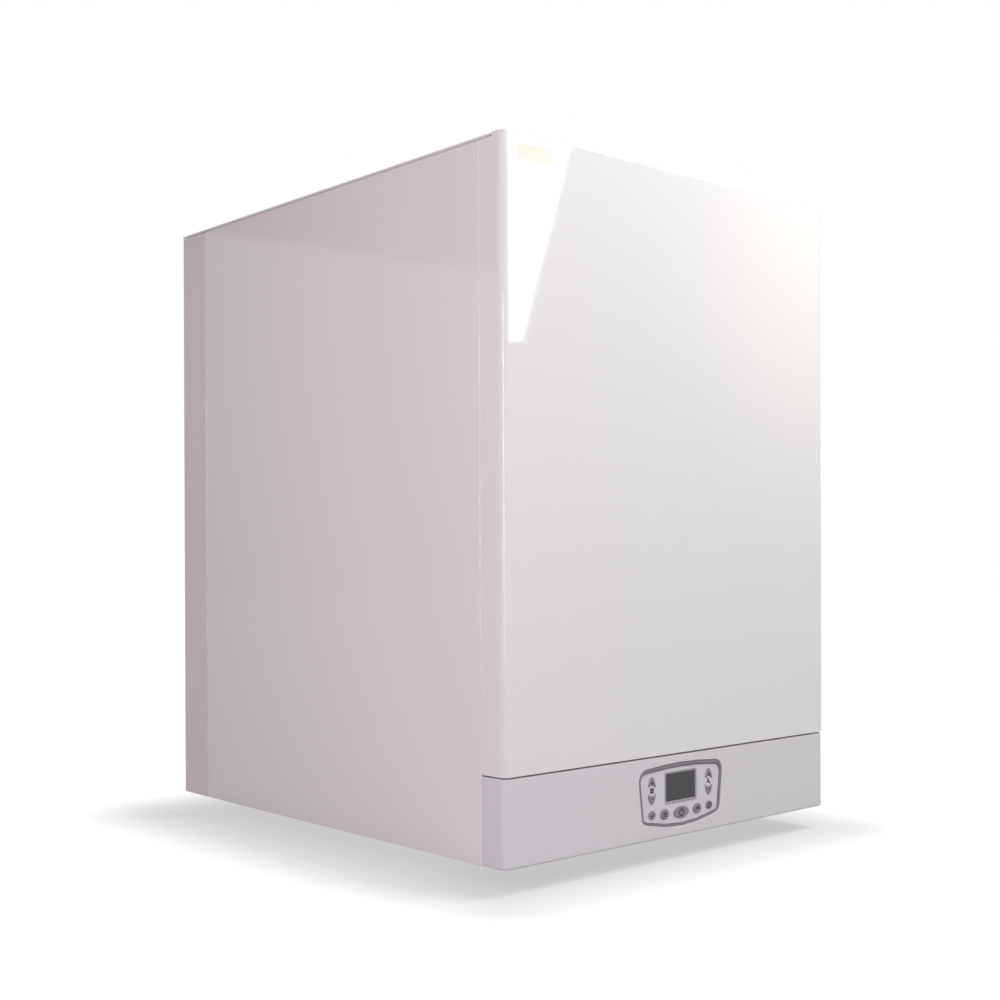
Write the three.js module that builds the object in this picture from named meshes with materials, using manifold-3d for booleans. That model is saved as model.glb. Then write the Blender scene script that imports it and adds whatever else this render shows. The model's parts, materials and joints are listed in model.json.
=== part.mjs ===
// Wall-mounted condensing gas boiler for central heating, with its casing, controls and works.
// Lengths are in millimetres. X runs to the right, Y into the wall and Z up, so the front faces -Y.
// The origin is the middle of the wall bracket's back face. The boiler is modelled from its casing's
// lower edge up, in a group that hangs below the bracket.
import * as THREE from "three";
import { mergeVertices } from "three/addons/utils/BufferGeometryUtils.js";
import Module from "manifold-3d";

const wasm = await Module();
wasm.setup();

// Clearances and facets
const fit = { gap: 0.3, running: 0.5, overrun: 4, embed: 1 };
const facets = { corner: 4, bend: 2, small: 8, pipe: 10, round: 16, drum: 24, collar: 20, outline: 8,
  pipeBend: 3 };

// Casing
const casing = { width: 600, depth: 719, height: 830, sheet: 1.2, fold: 2, edge: 14 };
const upright = { depth: 66, seam: 0.5 };
const lid = { lip: 4, sheet: 1.2, shadow: 0.5, setback: 19, tip: 3 };
const cover = { bottom: 104, sheet: 1.5, corner: 8.5, returnDepth: 39, rearCorner: 3, seam: 0.9,
  ledge: 24 };
const seal = { width: 10, thickness: 8, inset: 14 };
const fascia = { top: 102.2, setback: 1, inset: 1, corner: 8.5, wall: 2.5, edge: 2, post: 4, postInset: 16 };
const rail = { height: 26, depth: 22, sheet: 1.5, above: 4, behind: 0.3 };
const backPanel = { standoff: 12, sheet: 1.5, lipDrop: 26, lipSheet: 2.5, lipClear: 1.5, hookHalf: 200 };
const bracket = { half: 230, belowTop: 60, up: 20, down: 30, sheet: 3, pocket: 5.5, ledge: 3, upturn: 18 };
const bracketSlot = { radius: 5, spacing: 150, half: 9 };
const base = { height: 18, sheet: 1.5, front: 18, flange: 16 };
const hang = casing.height - bracket.belowTop;

// Controls
const bezel = { width: 158, top: 77, lowWidth: 147, low: 27, crown: 91.5, shoulder: 88.5, shoulderX: 62,
  keel: 12.2, chine: 19.4, chineX: 60, topCorner: 14, lowCorner: 9, ring: 3.9, recess: 0.6, depth: 8,
  slope: 1.6, lean: 0.8, drop: 1 };
const keypad = { recess: 2, sheet: 2.5 };
const display = { width: 59.5, height: 38.6, centre: 61.3, border: 2.3, recess: 1.3, glassRecess: 2.2,
  glass: 1.2, depth: 4.6, corner: 2 };
const button = { stand: 1, clearance: 0.4, flange: 1, flangeSheet: 0.8, dome: 0.4, reach: 7 };
const crescent = { centreX: 53.8, centreZ: 61.2, half: 7, tall: 16.8, near: 4.3, hollow: 9 };
const ovals = {
  info_button: { x: -53.7, z: 31, width: 13, height: 10 },
  menu_button: { x: -30.6, z: 29.4, width: 16.5, height: 12.5 },
  power_button: { x: 0.5, z: 28.5, width: 28.5, height: 14.4 },
  confirm_button: { x: 31.1, z: 29.4, width: 16.5, height: 12.5 },
  clock_button: { x: 54.4, z: 31, width: 13, height: 10 },
};
const board = { sheet: 1.6, half: 72, bottom: 18, top: 86, switchSize: 6, switchHeight: 2.6 };
const box = { side: 38, wall: 2.5, bottom: 4, top: 96, setback: 15, depth: 100, lidSheet: 2, post: 5 };
const mainBoard = { rise: 12, inset: 22, sheet: 1.6, relay: 18, relayHeight: 16, transformer: 46,
  transformerHeight: 34, plugWidth: 40, plugDepth: 12, plugHeight: 14 };
const hinge = { behind: 3, height: 6, pin: 4, arm: 8, armRound: 7, pinReach: 14, sheet: 2, armGap: 4,
  plateTop: 40, plateHalf: 20 };

// Burner and heat exchanger
// The works shrink and grow with the casing: these are their shares of its width, depth and height.
const shares = { radiusShare: 0.25, flangeShare: 1.1, boreShare: 0.747, coilShare: 0.52,
  burnerShare: 0.2267, riseShare: 0.5333, dropShare: 0.4667, spigotShare: 1.2333, sumpShare: 1.6333,
  rearShare: 0.1113, frontShare: 0.2997, heightShare: 0.6265, burnerLengthShare: 0.61, turnShare: 0.84,
  electrodeShare: 0.2, outletShare: 0.15833, silencerShare: 0.14, pumpShare: 0.2048, siphonShare: 0.72,
  drainShare: 0.4962 };
const shellRadius = casing.width * shares.radiusShare;
const exchanger = { radius: shellRadius, flange: shellRadius * shares.flangeShare, flangeSheet: 10,
  bore: shellRadius * shares.boreShare, endWall: 26, rear: casing.depth * shares.rearShare,
  frontRoom: casing.depth * shares.frontShare, height: casing.height * shares.heightShare, pipeGap: 10,
  rib: 3, ribWidth: 12, ribs: 3, edge: 14, bossRadius: 20, bossReach: 10, bossIn: 30 };
const coil = { inner: shellRadius * shares.coilShare, turns: 10, rear: 42, frontRoom: 58, steps: 16,
  sides: 6 };
const cradle = { offset: 50, width: 24, reach: 44, depth: 46, plate: 4, plateDrop: 70 };
const sump = { half: 62, rearGap: 52, length: 185, drainRadius: 16, drainDrop: 12, spigotRadius: 50,
  spigotReach: 25, drainBack: 135 };
const door = { sheet: 14, channelHalf: 38, channelDepth: 60, flangeHalf: 50, flangeSheet: 8, rim: 8,
  rimHeight: 4 };
const burner = { radius: shellRadius * shares.burnerShare, flangeReach: 10, flangeSheet: 3, slots: 3,
  slotWidth: 5, groove: 1.2 };
const insulation = { thickness: 18, edgeGap: 4 };
const electrode = { offsetX: shellRadius * shares.electrodeShare, aboveDoor: 4.7, radius: 5, rod: 1.6,
  reach: 46, plateWide: 22, plateHigh: 14.6, plateSheet: 3, head: 22 };

// Fan, mixer, gas and air
const fan = { startRadius: 66, growth: 34, outlet: 70, depth: 60, wall: 3, rise: 65,
  outletReach: casing.width * shares.outletShare, standoff: 4.4, eye: 36, flangeHalf: 9 };
const impeller = { radius: 56, hub: 12, blades: 16, bladeSheet: 1.6, bladeInner: 38, disc: 2, ring: 2,
  depth: 40, ringInner: 40, shaft: 4, shaftReach: 22, sweep: 0.55 };
const motor = { radius: 44, length: 56, flange: 50, flangeSheet: 4, bore: 5, ribs: 10, ribDepth: 2,
  plug: 24 };
const mixer = { radius: 40, throat: 24, bore: 33, length: 62, port: 14, portReach: 98, band: 4 };
const gasValve = { halfX: 40, halfY: 37, height: 92, coilRadius: 18, coilHeight: 30, screw: 6,
  cap: 5, inlet: 15 };
const gasPipe = { radius: 12, bend: 26, x: 40, y: 330, knee: 90, toe: 240 };
const silencer = { halfX: casing.width * shares.silencerShare, flueGap: 44.6, below: 63, topGap: 44,
  corner: 22, spigot: 52, rib: 3, ribs: 3, neck: 36, riser: 40 };
const collar = { radius: 55, wall: 1.5, height: 44, flange: 72, flangeSheet: 1.5, shoulder: 3, stop: 4 };
const flue = { wallGap: 28, forward: 106.5, bend: 62 };

// Water side
const flow = { radius: 17.5, wallGap: 12, y: 330, bend: 30, knee: 170, exitX: -165, exitY: 160 };
const connector = { top: 60, drop: 30, swell: 2.2, wall: 5.5, nut: 9, nutHeight: 16 };
const returnPipe = { x: 150, y: 330, bend: 30 };
const pump = { height: casing.height * shares.pumpShare, reach: 85, volute: 52, depth: 52, port: 19,
  nut: 27, nutHeight: 16, motor: 47, motorLength: 96, boxHalf: 34, boxDepth: 30, boxLift: 12 };
const vent = { radius: 17, height: 52, foot: 9, footHeight: 10, cap: 9, capHeight: 7, side: 150 };
const safety = { height: 300, tee: 14, body: 34, bodyRadius: 15, outlet: 10, outletReach: 30, knob: 17,
  knobLength: 22, lobes: 6, lobe: 2, seat: 9, seatLength: 8 };
const drain = { boss: 9, bossReach: 12, body: 9, bodyLength: 28, outlet: 6, outletGap: 7.5,
  lever: 46, leverHalf: 5, leverSheet: 3, hub: 8, spindle: 3.5, spindleReach: 7 };
const pocket = { boss: 8, bossReach: 7, plug: 5, plugReach: 16 };
const siphon = { radius: 32, bottom: 96, cup: 36, cupBottom: 44, cupOverlap: 14, outlet: 11,
  outletReach: 14, grip: 8, gripDepth: 2 };
const hose = { radius: 11, rib: 2, pitch: 7, bore: 8, bend: 26, run: 30.5, sides: 8 };

// Colours, roughness and metalness
const finishes = {
  enamel: [0xf2efee, 0.25, 0], sideEnamel: [0xc4bac4, 0.3, 0], rearEnamel: [0xafa3a3, 0.35, 0],
  galvanised: [0xb0a3a3, 0.45, 0.6],
  fasciaWhite: [0xc8c5c7, 0.4, 0], darkGrey: [0x7d787d, 0.5, 0], paleGrey: [0xbebbc1, 0.4, 0],
  screen: [0x504e50, 0.15, 0], keys: [0x8c878e, 0.45, 0], boardGreen: [0x2d6b45, 0.5, 0],
  blackPlastic: [0x2b2b2d, 0.55, 0], greyPlastic: [0x8f9193, 0.6, 0], steel: [0xc2c4c6, 0.3, 0.9],
  aluminium: [0xc9cbcd, 0.45, 0.85], copper: [0xb87350, 0.35, 0.9], brass: [0xc6a45a, 0.35, 0.85],
  rubber: [0x26272a, 0.8, 0], ceramic: [0xf0ede4, 0.3, 0], fibre: [0xe6e2d8, 0.9, 0],
  red: [0xc0352c, 0.45, 0], iron: [0x5b5f63, 0.55, 0.5], white: [0xe8e8e6, 0.5, 0],
};

// Places worked out from the sizes
const half = casing.width / 2;
const inner = half - casing.sheet;
const front = -casing.depth;
const coverBack = front + cover.returnDepth;
const sideFront = coverBack + cover.seam;
const uprightFront = -upright.depth;
const lidUnder = casing.height - lid.lip;
const panelTop = lidUnder - lid.shadow;
const backFace = -backPanel.standoff - backPanel.sheet;
const fasciaFront = front + fascia.setback;
const boxHalf = half - box.side;
const boxFront = front + box.setback;
const boxBack = boxFront + box.depth;
const hingeY = boxBack + hinge.behind;
const baseFront = hingeY + base.front;
const baseTop = base.height + base.sheet;
const flowX = -inner + flow.wallGap + flow.radius;
const exchangerX = flowX + flow.radius + exchanger.pipeGap + exchanger.flange;
const exchangerRear = backFace - exchanger.rear;
const exchangerFront = front + exchanger.frontRoom;
const exchangerLength = exchangerRear - exchangerFront;
const shell = exchanger.radius + exchanger.rib;
const doorFront = exchangerFront - fit.gap - door.sheet;
const doorSide = exchangerX + exchanger.radius;
const fanX = doorSide + fit.gap + fan.outletReach;
const fanZ = exchanger.height + fan.rise;
const fanRear = doorFront - fan.standoff;
const fanFront = fanRear - fan.depth;
const mixerRear = fanRear + fit.gap + mixer.length;
const flueX = inner - flue.wallGap - collar.radius;
const flueY = exchangerRear - flue.forward;
const silencerFront = mixerRear + fit.gap;
const silencerBack = flueY - collar.radius - silencer.flueGap;
const airCollarY = (silencerFront + silencerBack) / 2;
const collarLow = lidUnder - lid.lip * 2;
const spigotZ = exchanger.height - exchanger.radius * shares.spigotShare;
const sumpLow = exchanger.height - exchanger.radius * shares.sumpShare;
const siphonY = exchangerRear - sump.drainBack;
const hoseStart = exchangerX + siphon.radius + siphon.outletReach + fit.gap;
const hoseX = hoseStart + hose.run;
const stubs = {
  flow: { x: flow.exitX, y: -flow.exitY, radius: flow.radius + connector.swell },
  return: { x: returnPipe.x, y: -returnPipe.y, radius: flow.radius + connector.swell },
  gas: { x: gasPipe.x, y: -gasPipe.y, radius: gasPipe.radius + connector.swell },
  condensate: { x: hoseX, y: siphonY, radius: hose.radius },
};

// Solids and cuts

// A closed geometry as a solid whose faces point out.
function solidOf(geometry) {
  const bare = geometry.index ? geometry.toNonIndexed() : geometry;
  const points = new THREE.BufferGeometry().setAttribute("position", bare.getAttribute("position"));
  const merged = mergeVertices(points, 1e-4);
  const triangles = [];
  for (let i = 0; i < merged.index.count; i += 3) {
    const [a, b, c] = [0, 1, 2].map((step) => merged.index.getX(i + step));
    if (a !== b && b !== c && c !== a) triangles.push([a, b, c]);
  }
  const build = (list) => new wasm.Manifold(new wasm.Mesh({
    numProp: 3,
    vertProperties: new Float32Array(merged.attributes.position.array),
    triVerts: new Uint32Array(list.flat()),
  }));
  const made = build(triangles);
  return made.volume() > 0 ? made : build(triangles.map(([a, b, c]) => [a, c, b]));
}

function join(first, ...others) {
  return others.reduce((whole, other) => whole.add(other), first);
}

function cut(first, ...others) {
  return others.reduce((whole, other) => whole.subtract(other), first);
}

// Directions that a section's own X, Y and depth take when it is drawn across an axis.
const across = {
  x: [new THREE.Vector3(0, 1, 0), new THREE.Vector3(0, 0, 1), new THREE.Vector3(1, 0, 0)],
  y: [new THREE.Vector3(1, 0, 0), new THREE.Vector3(0, 0, 1), new THREE.Vector3(0, -1, 0)],
  z: [new THREE.Vector3(1, 0, 0), new THREE.Vector3(0, 1, 0), new THREE.Vector3(0, 0, 1)],
};

// An outline drawn across an axis, made solid from one place on that axis to another.
function slab(axis, outline, from, to, holes = []) {
  const shape = new THREE.Shape(outline.map(([u, v]) => new THREE.Vector2(u, v)));
  shape.holes = holes.map((hole) => new THREE.Path(hole.map(([u, v]) => new THREE.Vector2(u, v))));
  const low = Math.min(from, to);
  const high = Math.max(from, to);
  const geometry = new THREE.ExtrudeGeometry(shape, { depth: high - low, bevelEnabled: false });
  const start = axis === "y" ? -high : low;
  geometry.translate(0, 0, start);
  return solidOf(geometry.applyMatrix4(new THREE.Matrix4().makeBasis(...across[axis])));
}

function block([x0, y0, z0], [x1, y1, z1]) {
  const geometry = new THREE.BoxGeometry(Math.abs(x1 - x0), Math.abs(y1 - y0), Math.abs(z1 - z0));
  return solidOf(geometry.translate((x0 + x1) / 2, (y0 + y1) / 2, (z0 + z1) / 2));
}

// Turns that take a lathe's own upward axis to the named direction.
const turns = {
  x: [0, 0, -Math.PI / 2], "-x": [0, 0, Math.PI / 2], y: [0, 0, 0], "-y": [Math.PI, 0, 0],
  z: [Math.PI / 2, 0, 0], "-z": [-Math.PI / 2, 0, 0],
};

// A profile of [radius, distance along the axis] points, turned about that axis from a centre.
function turned(direction, centre, profile, sides = facets.round) {
  const points = profile.map(([radius, along]) => new THREE.Vector2(Math.max(radius, 0), along));
  const geometry = new THREE.LatheGeometry(points, sides);
  geometry.applyMatrix4(new THREE.Matrix4().makeRotationFromEuler(new THREE.Euler(...turns[direction])));
  return solidOf(geometry.translate(...centre));
}

function rod(direction, centre, radius, length, sides = facets.round) {
  return turned(direction, centre, [[0, 0], [radius, 0], [radius, length], [0, length]], sides);
}

function ring(direction, centre, outer, bore, length, sides = facets.round) {
  const profile = [[bore, 0], [outer, 0], [outer, length], [bore, length], [bore, 0]];
  return turned(direction, centre, profile, sides);
}

// Corners of a polyline rounded to arcs. Points are vectors, in a plane or in space.
function rounded(points, radii, steps, closed = false) {
  const count = points.length;
  const result = [];
  points.forEach((corner, i) => {
    const last = points[(i + count - 1) % count];
    const next = points[(i + 1) % count];
    const radius = Array.isArray(radii) ? radii[i] : radii;
    if ((!closed && (i === 0 || i === count - 1)) || !radius) {
      result.push(corner.clone());
      return;
    }
    const back = last.clone().sub(corner).normalize();
    const ahead = next.clone().sub(corner).normalize();
    const opening = back.angleTo(ahead);
    const reach = radius / Math.tan(opening / 2);
    const inward = back.clone().add(ahead).normalize();
    const centre = corner.clone().addScaledVector(inward, radius / Math.sin(opening / 2));
    const from = corner.clone().addScaledVector(back, reach).sub(centre);
    const to = corner.clone().addScaledVector(ahead, reach).sub(centre);
    const swing = from.angleTo(to);
    for (let step = 0; step <= steps; step += 1) {
      const share = step / steps;
      const a = Math.sin((1 - share) * swing) / Math.sin(swing);
      const b = Math.sin(share * swing) / Math.sin(swing);
      result.push(centre.clone().addScaledVector(from, a).addScaledVector(to, b));
    }
  });
  return result;
}

function vectors(points) {
  return points.map(([u, v, w = 0]) => new THREE.Vector3(u, v, w));
}

function flat(points) {
  return points.map(({ x, y }) => [x, y]);
}

// A closed outline with rounded corners: one radius for all, or one for each corner.
function softOutline(points, radii, steps = facets.corner) {
  return flat(rounded(vectors(points), radii, steps, true));
}

function rectangle(u0, u1, v0, v1) {
  return [[u0, v0], [u1, v0], [u1, v1], [u0, v1]];
}

function ellipse(u, v, radiusU, radiusV, count = facets.outline * 2) {
  return Array.from({ length: count }, (_, i) => {
    const angle = (i / count) * 2 * Math.PI;
    return [u + radiusU * Math.cos(angle), v + radiusV * Math.sin(angle)];
  });
}

function hexagon(u, v, radius) {
  return ellipse(u, v, radius, radius, 6);
}

// The section of a folded sheet: a polyline of its outer face, thickened to the left of its run.
function folded(points, sheet, bend = casing.fold) {
  const path = vectors(points);
  const inside = path.map((corner, i) => {
    const before = i > 0 ? corner.clone().sub(path[i - 1]).normalize() : null;
    const after = i < path.length - 1 ? path[i + 1].clone().sub(corner).normalize() : null;
    const normals = [before, after].filter(Boolean).map((run) => new THREE.Vector3(-run.y, run.x, 0));
    const sum = normals.reduce((total, normal) => total.clone().add(normal), new THREE.Vector3());
    const scale = sheet / sum.clone().normalize().dot(normals[0]);
    return corner.clone().addScaledVector(sum.normalize(), scale);
  });
  const turnsLeft = path.map((corner, i) => {
    if (i === 0 || i === path.length - 1) return true;
    const run = corner.clone().sub(path[i - 1]);
    return run.cross(path[i + 1].clone().sub(corner)).z > 0;
  });
  const smallest = Math.max(bend - sheet, sheet / 4);
  const outerRadii = turnsLeft.map((left) => (left ? bend : smallest));
  const innerRadii = turnsLeft.map((left) => (left ? smallest : bend));
  const outerSide = rounded(path, outerRadii, facets.bend);
  const innerSide = rounded(inside, innerRadii, facets.bend);
  return flat([...outerSide, ...innerSide.reverse()]);
}

// A pipe's centre line, whose steps fall on the ends and in the bends.
class PipeRoute extends THREE.Curve {
  constructor(stations) {
    super();
    this.stations = stations;
  }

  getPoint(share) {
    const place = share * (this.stations.length - 1);
    const low = Math.min(Math.floor(place), this.stations.length - 2);
    return this.stations[low].clone().lerp(this.stations[low + 1], place - low);
  }

  getTangent(share) {
    const last = this.stations.length - 1;
    const here = Math.round(share * last);
    const before = this.stations[Math.max(here - 1, 0)];
    const at = this.stations[here];
    const after = this.stations[Math.min(here + 1, last)];
    const run = at.clone().sub(before).normalize().add(after.clone().sub(at).normalize());
    return run.normalize();
  }

  getPointAt(share) {
    return this.getPoint(share);
  }

  getTangentAt(share) {
    return this.getTangent(share);
  }
}

function pipe(points, radius, bend, sides = facets.pipe) {
  const stations = rounded(vectors(points), bend, facets.pipeBend);
  const circle = ellipse(0, 0, radius, radius, sides);
  const section = new THREE.Shape(circle.map(([u, v]) => new THREE.Vector2(u, v)));
  const extrudePath = new PipeRoute(stations);
  return solidOf(new THREE.ExtrudeGeometry(section, { steps: stations.length - 1, extrudePath }));
}

// Rings of points joined into one closed skin: the rings follow one another, and both ends are capped,
// or the last ring meets the first.
function skin(rings, endless = false) {
  const sides = rings[0].length;
  const points = rings.flat();
  const triangles = [];
  const bands = endless ? rings.length : rings.length - 1;
  for (let i = 0; i < bands; i += 1) {
    for (let j = 0; j < sides; j += 1) {
      const a = i * sides + j;
      const b = i * sides + ((j + 1) % sides);
      const c = ((i + 1) % rings.length) * sides + j;
      const d = ((i + 1) % rings.length) * sides + ((j + 1) % sides);
      triangles.push(a, b, d, a, d, c);
    }
  }
  if (!endless) {
    const last = (rings.length - 1) * sides;
    for (let j = 1; j < sides - 1; j += 1) {
      triangles.push(0, j + 1, j, last, last + j, last + j + 1);
    }
  }
  const geometry = new THREE.BufferGeometry().setFromPoints(points);
  geometry.setIndex(triangles);
  return solidOf(geometry);
}

// Measures a tube's least gap to itself on its rings' points, leaving out rings that are close along it.
function tellGap(name, rings, away) {
  let least = Infinity;
  rings.forEach((one, i) => rings.slice(i + away).forEach((other) => {
    one.forEach((a) => other.forEach((b) => {
      least = Math.min(least, a.distanceTo(b));
    }));
  }));
  console.log(`${name}: least gap to itself ${least.toFixed(2)} mm`);
}

// The model
const part = new THREE.Group();
const boiler = new THREE.Group();
boiler.position.z = -hang;
part.add(boiler);

function piece(name, solid, finish) {
  const mesh = solid.getMesh();
  const geometry = new THREE.BufferGeometry();
  geometry.setAttribute("position", new THREE.BufferAttribute(new Float32Array(mesh.vertProperties), 3));
  geometry.setIndex(new THREE.BufferAttribute(new Uint32Array(mesh.triVerts), 1));
  geometry.computeVertexNormals();
  const [color, roughness, metalness] = finishes[finish];
  const made = new THREE.Mesh(geometry, new THREE.MeshStandardMaterial({ color, roughness, metalness }));
  made.name = name;
  boiler.add(made);
}

// Wall bracket and back panel
// The rail's section turns forward and up into a pocket, and the panel's lip hangs in it.

function makeWallBracket() {
  const pocketFloor = hang - bracket.down;
  const outside = -bracket.sheet - bracket.pocket - bracket.sheet;
  const section = [
    [0, hang + bracket.up], [0, pocketFloor], [outside, pocketFloor],
    [outside, pocketFloor + bracket.upturn], [outside + bracket.sheet, pocketFloor + bracket.upturn],
    [outside + bracket.sheet, pocketFloor + bracket.ledge], [-bracket.sheet, pocketFloor + bracket.ledge],
    [-bracket.sheet, hang + bracket.up],
  ];
  const slots = [-bracketSlot.spacing, bracketSlot.spacing].map((x) => {
    const outline = softOutline(
      rectangle(x - bracketSlot.half, x + bracketSlot.half, hang - bracketSlot.radius,
        hang + bracketSlot.radius),
      bracketSlot.radius - fit.gap,
      facets.bend,
    );
    return slab("y", outline, fit.overrun, -bracket.sheet - fit.embed);
  });
  return cut(slab("x", section, -bracket.half, bracket.half), ...slots);
}

function makeBackPanel() {
  const edge = inner - fit.gap;
  const sheet = block([-edge, backFace, base.sheet], [edge, -backPanel.standoff, lidUnder - lid.sheet]);
  const lipBack = -bracket.sheet - backPanel.lipClear;
  const lipLow = hang - bracket.down + bracket.ledge + fit.gap;
  const lipTop = lipLow + backPanel.lipDrop;
  const lip = slab("x", [
    [lipBack, lipLow], [lipBack, lipTop], [backFace + backPanel.sheet / 2, lipTop],
    [backFace + backPanel.sheet / 2, lipTop - backPanel.lipSheet],
    [lipBack - backPanel.lipSheet, lipTop - backPanel.lipSheet], [lipBack - backPanel.lipSheet, lipLow],
  ], -backPanel.hookHalf, backPanel.hookHalf);
  return join(sheet, lip, makeCradle());
}

// Casing panels

function makeUpright(side) {
  const section = [
    [side * (half - casing.edge), 0], [side * half, 0],
    [side * half, uprightFront], [side * (half - casing.edge), uprightFront],
  ];
  const run = side < 0 ? section : section.reverse();
  return slab("z", folded(run, casing.sheet), 0, panelTop);
}

function makeSidePanel(side) {
  const rear = uprightFront - upright.seam;
  const section = [
    [side * (half - casing.edge), rear], [side * half, rear],
    [side * half, sideFront], [side * (half - casing.edge), sideFront],
  ];
  const run = side < 0 ? section : section.reverse();
  return slab("z", folded(run, casing.sheet), 0, panelTop);
}

function makeTopPanel() {
  const section = folded([
    [half, lidUnder], [half, casing.height], [-half, casing.height], [-half, lidUnder],
  ], lid.sheet);
  const lidFront = front + lid.setback;
  const profile = softOutline(
    [[0, lidUnder - fit.embed], [0, casing.height + fit.embed], [lidFront, casing.height + fit.embed],
      [lidFront, lidUnder]],
    [0, 0, 0, lid.tip],
    facets.bend,
  );
  const ends = slab("x", profile, -half - fit.embed, half + fit.embed);
  const body = slab("y", section, 0, lidFront).intersect(ends);
  const holes = [[flueX, flueY], [fanX, airCollarY]].map(([x, y]) => (
    rod("z", [x, y, lidUnder - fit.overrun], collar.radius + fit.running, lid.lip + fit.overrun * 2,
      facets.collar)
  ));
  return cut(body, ...holes);
}

// A sheet tray with turned-up sides, notched where the casing's folds meet, with holes for the pipes and
// two lugs that the control box turns on.
function makeBasePanel() {
  const edge = inner - fit.gap;
  const back = backFace - fit.gap;
  const section = folded([
    [-edge, baseTop + base.flange], [-edge, base.height],
    [edge, base.height], [edge, baseTop + base.flange],
  ], base.sheet);
  const holes = Object.values(stubs).map(({ x, y, radius }) => (
    rod("z", [x, y, base.height - fit.overrun], radius + fit.running, base.sheet + fit.overrun * 2)
  ));
  const seamHalf = upright.seam / 2 + casing.sheet + fit.gap;
  const seamMiddle = uprightFront - upright.seam / 2;
  const notches = [-1, 1].map((side) => block(
    [side * (half - casing.edge - fit.gap), seamMiddle - seamHalf, 0],
    [side * half, seamMiddle + seamHalf, casing.height],
  ));
  const lugs = [-1, 1].map(makeHingeLug);
  return join(cut(slab("y", section, back, baseFront), ...holes, ...notches), ...lugs);
}

function makeHingeLug(side) {
  const near = boxHalf + hinge.arm + hinge.armGap;
  const plate = slab("x", softOutline(
    [[hingeY - hinge.plateHalf, fit.embed], [baseFront + hinge.plateHalf, fit.embed],
      [baseFront + hinge.plateHalf, hinge.plateTop], [hingeY - hinge.plateHalf, hinge.plateTop]],
    [hinge.pin, 0, 0, hinge.plateHalf / 2],
  ), side * near, side * (near + hinge.sheet));
  const bore = rod("x", [-half, hingeY, hinge.height], hinge.pin + fit.gap, casing.width);
  return cut(plate, bore);
}

function makeFrontRail(z0) {
  const back = sideFront + casing.sheet + rail.behind;
  const end = inner - fit.gap;
  const section = folded([
    [back + rail.depth, z0], [back, z0], [back, z0 + rail.height], [back + rail.depth, z0 + rail.height],
  ].reverse(), rail.sheet);
  return slab("x", section, -end, end);
}

// Front cover and its seal
// A tray with rounded upright corners and side returns, cut back where the lid's ends lie over it.

function wrapOutline(halfWidth, face, back, corner) {
  return softOutline(
    [[-halfWidth, back], [-halfWidth, face], [halfWidth, face], [halfWidth, back]],
    [0, corner, corner, 0],
  );
}

function makeFrontCover() {
  const outside = slab("z", wrapOutline(half, front, coverBack, cover.corner), cover.bottom, casing.height);
  const hollow = slab(
    "z",
    wrapOutline(half - cover.sheet, front + cover.sheet, coverBack + fit.overrun,
      cover.corner - cover.sheet),
    cover.bottom + cover.sheet,
    casing.height - cover.sheet,
  );
  const lidEnd = front + lid.setback - fit.running;
  const profile = softOutline(
    [[front - fit.embed, cover.bottom], [coverBack, cover.bottom], [coverBack, panelTop],
      [lidEnd, panelTop],
      [lidEnd, casing.height], [front - fit.embed, casing.height]],
    [0, cover.rearCorner, 0, 0, 0, 0],
    facets.bend,
  );
  const body = cut(outside, hollow).intersect(slab("x", profile, -half - fit.embed, half + fit.embed));
  const ledge = block(
    [-half, front + cover.ledge, cover.bottom - fit.embed],
    [half, coverBack + fit.embed, cover.bottom + cover.sheet],
  );
  const ledgeKeep = half - cover.sheet;
  return cut(body, ledge.intersect(block(
    [-ledgeKeep, front, cover.bottom - fit.overrun],
    [ledgeKeep, coverBack + fit.overrun, cover.bottom + cover.sheet + fit.embed],
  )));
}

function makeCoverSeal() {
  const outer = half - seal.inset + seal.width / 2;
  const low = cover.bottom + cover.sheet + seal.inset;
  const high = panelTop - lid.lip - seal.inset / 2;
  const outline = softOutline(rectangle(-outer, outer, low, high), seal.width, facets.bend);
  const hole = softOutline(
    rectangle(-outer + seal.width, outer - seal.width, low + seal.width, high - seal.width),
    seal.width / 2,
    facets.bend,
  );
  const back = sideFront - fit.gap;
  return slab("y", outline, back - seal.thickness, back, [hole]);
}

// Controls
// The window is a shield: arched at the top and bottom, and narrower below than above.

function shieldOutline(inset) {
  const arch = (u, end, crown, edge) => crown + (edge - crown) * (u / end) ** 2;
  const topHalf = bezel.width / 2;
  const lowHalf = bezel.lowWidth / 2;
  const steps = Array.from({ length: facets.corner + 1 }, (_, i) => 1 - (2 * i) / facets.corner);
  const roof = steps.map((share) => [
    share * bezel.shoulderX,
    arch(share * bezel.shoulderX, bezel.shoulderX, bezel.crown, bezel.shoulder),
  ]);
  const floor = steps.map((share) => [
    -share * bezel.chineX,
    arch(share * bezel.chineX, bezel.chineX, bezel.keel, bezel.chine),
  ]);
  const sideAt = (z) => lowHalf + ((topHalf - lowHalf) * (z - bezel.low)) / (bezel.top - bezel.low);
  const topCorner = [sideAt(bezel.shoulder - bezel.slope), bezel.shoulder - bezel.slope];
  const lowCorner = [sideAt(bezel.chine + bezel.slope), bezel.chine + bezel.slope * 2];
  const corners = [
    ...roof, [-topCorner[0], topCorner[1]], [-lowCorner[0], lowCorner[1]],
    ...floor, lowCorner, topCorner,
  ];
  const radii = [
    ...roof.map(() => 0), bezel.topCorner, bezel.lowCorner, ...floor.map(() => 0),
    bezel.lowCorner, bezel.topCorner,
  ];
  return insetOutline(softOutline(corners, radii), inset);
}

// The ring's opening sits a little low in it, so that the ring is widest along its top.
function openingOutline(inset) {
  return shieldOutline(inset).map(([x, z]) => [x, z - bezel.drop]);
}

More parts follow.
